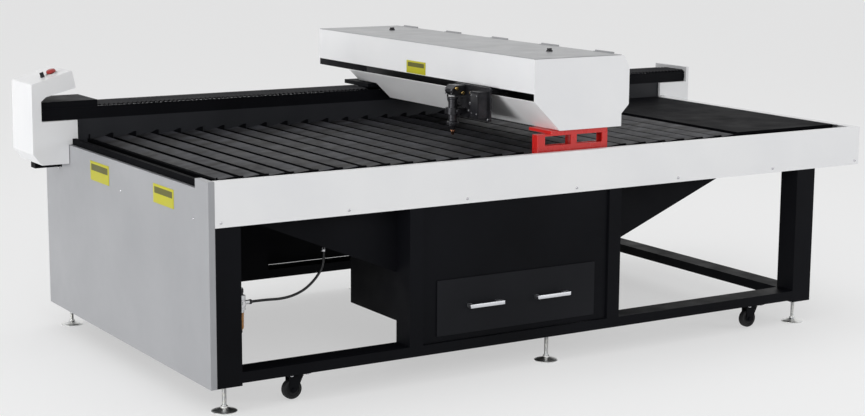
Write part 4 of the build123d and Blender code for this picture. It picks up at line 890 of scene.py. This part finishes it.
def bellows(name, x0, x1, folds):
    clear()
    bpy.ops.mesh.primitive_grid_add(x_subdivisions=2 * folds, y_subdivisions=1, size=1,
                                    location=at((x0 + x1) / 2, rail_y, ridge_height))
    piece = bpy.context.object
    piece.scale = ((x1 - x0) / 1000, cloth_width / 1000, 1)
    bpy.ops.object.transform_apply(location=True, rotation=True, scale=True)
    bpy.ops.object.mode_set(mode="EDIT")
    bpy.ops.mesh.select_mode(type="VERT")
    bpy.ops.mesh.select_all(action="DESELECT")
    mesh = bmesh.from_edit_mesh(piece.data)
    step = (x1 - x0) / 2000 / folds
    for point in mesh.verts:
        point.select_set(round((point.co.x - at(x0, 0, 0).x) / step) % 2 == 0)
    bmesh.update_edit_mesh(piece.data)
    bpy.ops.transform.translate(value=(0, 0, -fold_depth / 1000))
    bpy.ops.mesh.select_all(action="SELECT")
    bpy.ops.mesh.extrude_region_move(TRANSFORM_OT_translate={"value": (0, 0, -cloth_thickness / 1000)})
    bpy.ops.mesh.select_all(action="SELECT")
    bpy.ops.mesh.normals_make_consistent(inside=False)
    bpy.ops.object.mode_set(mode="OBJECT")
    piece.name = name
    piece.data.name = name
    piece.data.materials.append(cloth)
    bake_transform(piece)
    return piece


left_folds = bellows("bellows_folds_left", 108.5, 1401.5, 62)
right_folds = bellows("bellows_folds_right", 1745.5, 3237.5, 72)
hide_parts("bellows_left")
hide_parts("bellows_right")
print("bellows", len(left_folds.data.polygons), "and", len(right_folds.data.polygons), "faces")

# %% [markdown]
# ## The head
# From a step away the head is a knot of small bright and dark parts: socket screws, two
# brass knobs that tilt the mirror, an air fitting, a knurled ring and a copper nozzle. They
# are turned, because each is round on the real head, and each rides with the block that it
# is screwed into.

# %% Screws of the carriage plate
socket_rings = [(5.4, 0), (5.8, 0.4), (5.8, 4.6), (5.2, 5.4), (3.2, 5.4), (2.9, 2.6), (0.5, 2.4)]
plate_x = 1329.2
first_y, first_z = 422, 978
head_screw = turned("head_screw_1", socket_rings, at(plate_x, first_y, first_z), (-1, 0, 0),
                    steel, "head", 24)
for number, (y, z) in enumerate(((408, 1053), (360, 1056), (372, 964), (514, 962), (282, 956)), 2):
    again(head_screw, "head_screw_%d" % number, (0, y - first_y, z - first_z))
print("six head screws")

# %% Knobs and screws of the mirror box
knob_rings = [(3.0, 0), (3.0, 4.0), (6.4, 4.2), (7.0, 4.8), (7.0, 11.0), (6.4, 11.8), (0.5, 12.0)]
mirror_rings = [(3.0, 0), (3.4, 0.3), (3.4, 2.2), (1.9, 2.4), (1.7, 1.2), (0.4, 1.1)]
knob = turned("mirror_knob_1", knob_rings, at(1281, 447.6, 1068), (0, -1, 0), brass, "head", 28)
again(knob, "mirror_knob_2", (30, 0, -18))
mirror_screw = turned("mirror_screw_1", mirror_rings, at(1266.8, 457, 1046), (-1, 0, 0),
                      steel, "head", 20)
for number, (dy, dz) in enumerate(((42, 0), (0, 15), (42, 15)), 2):
    again(mirror_screw, "mirror_screw_%d" % number, (0, dy, dz))
print("two knobs and four screws")

# %% Air fitting
fitting_rings = [(7.0, 0), (7.6, 0.6), (7.6, 8.0), (5.0, 8.4), (5.0, 14.0), (6.6, 14.4), (6.6, 20.0),
                 (3.0, 20.4)]
turned("air_fitting", fitting_rings, at(plate_x, 386, 1012), (-1, 0, 0), steel, "head", 28)
print("air fitting")

# %% [markdown]
# The block beside the lens tube has a screwed cover, and a knob clamps the tube in its
# holder. The tube's own ring and nozzle ride with it, up and down.

# %% Cover of the side block, and clamp knob
lens_x, lens_y = 1287, 478
cover_rings = [(2.6, 0), (3.0, 0.3), (3.0, 1.8), (1.7, 2.0), (1.5, 1.0), (0.4, 0.9)]
clamp_rings = [(4.0, 0), (4.0, 6.0), (9.0, 6.4), (9.8, 7.4), (9.8, 17.0), (9.0, 18.0), (0.6, 18.4)]
block("side_cover", (1280.6, 286, 972), (1283.2, 336, 1060), 1.2, dark_plastic, "head")
cover_screw = turned("side_cover_screw_1", cover_rings, at(1280.8, 292, 980), (-1, 0, 0),
                     steel, "head", 20)
for number, (dy, dz) in enumerate(((38, 0), (0, 72), (38, 72)), 2):
    again(cover_screw, "side_cover_screw_%d" % number, (0, dy, dz))
turned("clamp_knob", clamp_rings, at(lens_x, 447.8, 975), (0, -1, 0),
       dark_plastic, "head", 28)
print("side cover and clamp knob")

# %% Knurled ring, which moves with the lens tube
ring_radius, ring_teeth = 24.6, 36
ring_rings = [(24.1, 917.6), (ring_radius, 918.2), (ring_radius, 930.2), (24.1, 930.8)]
tooth_rings = [(0.9, 919), (1.1, 919.6), (1.1, 928.8), (0.9, 929.4)]
turned("focus_ring", ring_rings, at(lens_x, lens_y, 0), (0, 0, 1), anodised, "focus", 40)
tooth = turned("focus_tooth_1", tooth_rings, at(lens_x + ring_radius, lens_y, 0), (0, 0, 1),
               anodised, "focus", 6)
for number in range(1, ring_teeth):
    turn = number * math.tau / ring_teeth
    again(tooth, "focus_tooth_%d" % (number + 1),
          (ring_radius * (math.cos(turn) - 1), ring_radius * math.sin(turn), 0))
print("ring with", ring_teeth, "teeth")

# %% Nozzle
nozzle_rings = [(3.2, 875.9), (4.4, 876.0), (5.4, 879.0), (9.6, 891.0), (10.4, 891.4), (10.4, 896.0),
                (9.4, 897.0)]
turned("nozzle_tip", nozzle_rings, at(lens_x, lens_y, 0), (0, 0, 1), copper, "focus", 32)
print("nozzle")

# %% [markdown]
# ## Console, doors and panels
# The stop button stands in a pale collar. The collar is a dish with a thin floor, so the
# button has room to go down by its four millimetres. It stands square to the console's
# sloping face, so its place is given in metres and its axis as a direction.

# %% Collar of the stop button
collar_rings = [(25.4, 0), (25.2, 2.4), (24.4, 3.4), (22.0, 3.6), (21.2, 3.2), (21.0, 0.2), (0.6, 0.2)]
stop_place = Vector((-1.60182, 0.544, 1.10437))
slope_up = (-0.282767, 0, 0.959189)
turned("stop_collar", collar_rings, stop_place, slope_up, collar_grey, "table", 48)
print("collar at", stop_place)

# %% [markdown]
# At the back the door of the electrical box has a quarter-turn lock, a turned dish with a
# bar for the key, and the panel beside it is held by two rows of the cover's screws.

# %% Door lock
lock_rings = [(13.2, 0), (14.0, 0.7), (14.0, 2.2), (12.6, 3.2), (6.4, 3.4), (6.0, 1.8), (0.6, 1.6)]
turned("door_lock", lock_rings, at(872, 1638.8, 416), (0, 1, 0), steel, "door", 36)
block("lock_bar", (870.9, 1640.6, 411), (873.1, 1642.4, 421), 0.4, steel, "door")
print("lock")

# %% Panel screws at the back
panel_heights = (163, 671)
panel_columns = (918, 1221, 1523, 1826, 2129, 2431, 2732)
places = [(x, z) for z in panel_heights for x in panel_columns]
first_x, first_z = places[0]
back_screw = turned("back_screw_1", screw_rings, at(first_x, 1640.2, first_z), (0, 1, 0),
                    steel, "table", 24)
for number, (x, z) in enumerate(places[1:], 2):
    again(back_screw, "back_screw_%d" % number, (x - first_x, 0, z - first_z))
print(len(places), "panel screws")

# %% [markdown]
# Behind the slots of the rear panel sits a dark filter mat, so that no light comes through
# them. It is a plain block with broken edges, because only its front shows.

# %% Filter mat behind the slots
block("filter_mat", (1056, 1635.4, 440), (1336, 1637.6, 594), 0.6, cloth, "table")
print("filter mat")

# %% [markdown]
# Three plain strips of sheet close the gaps round the hopper and in front of the right
# deck, as they do on a real table, where no offcut may fall past the hopper. They could be
# one sheet with a cut-out, but strips are what a workshop would rivet in.

# %% Closing strips
strip_bottom, strip_top = 778.2, 779.6
strips = {"right": ((2442.5, 102.5), (2508.0, 1369.5)), "left": ((99.0, 102.5), (151.5, 1369.5)),
          "deck": ((2508.5, 101.0), (3058.0, 129.0))}
for name, (low, high) in strips.items():
    block("closing_strip_" + name, (*low, strip_bottom), (*high, strip_top), 0.4,
          black_coat, "table")
print(len(strips), "closing strips")

# %% Update the scene
bpy.context.view_layer.update()
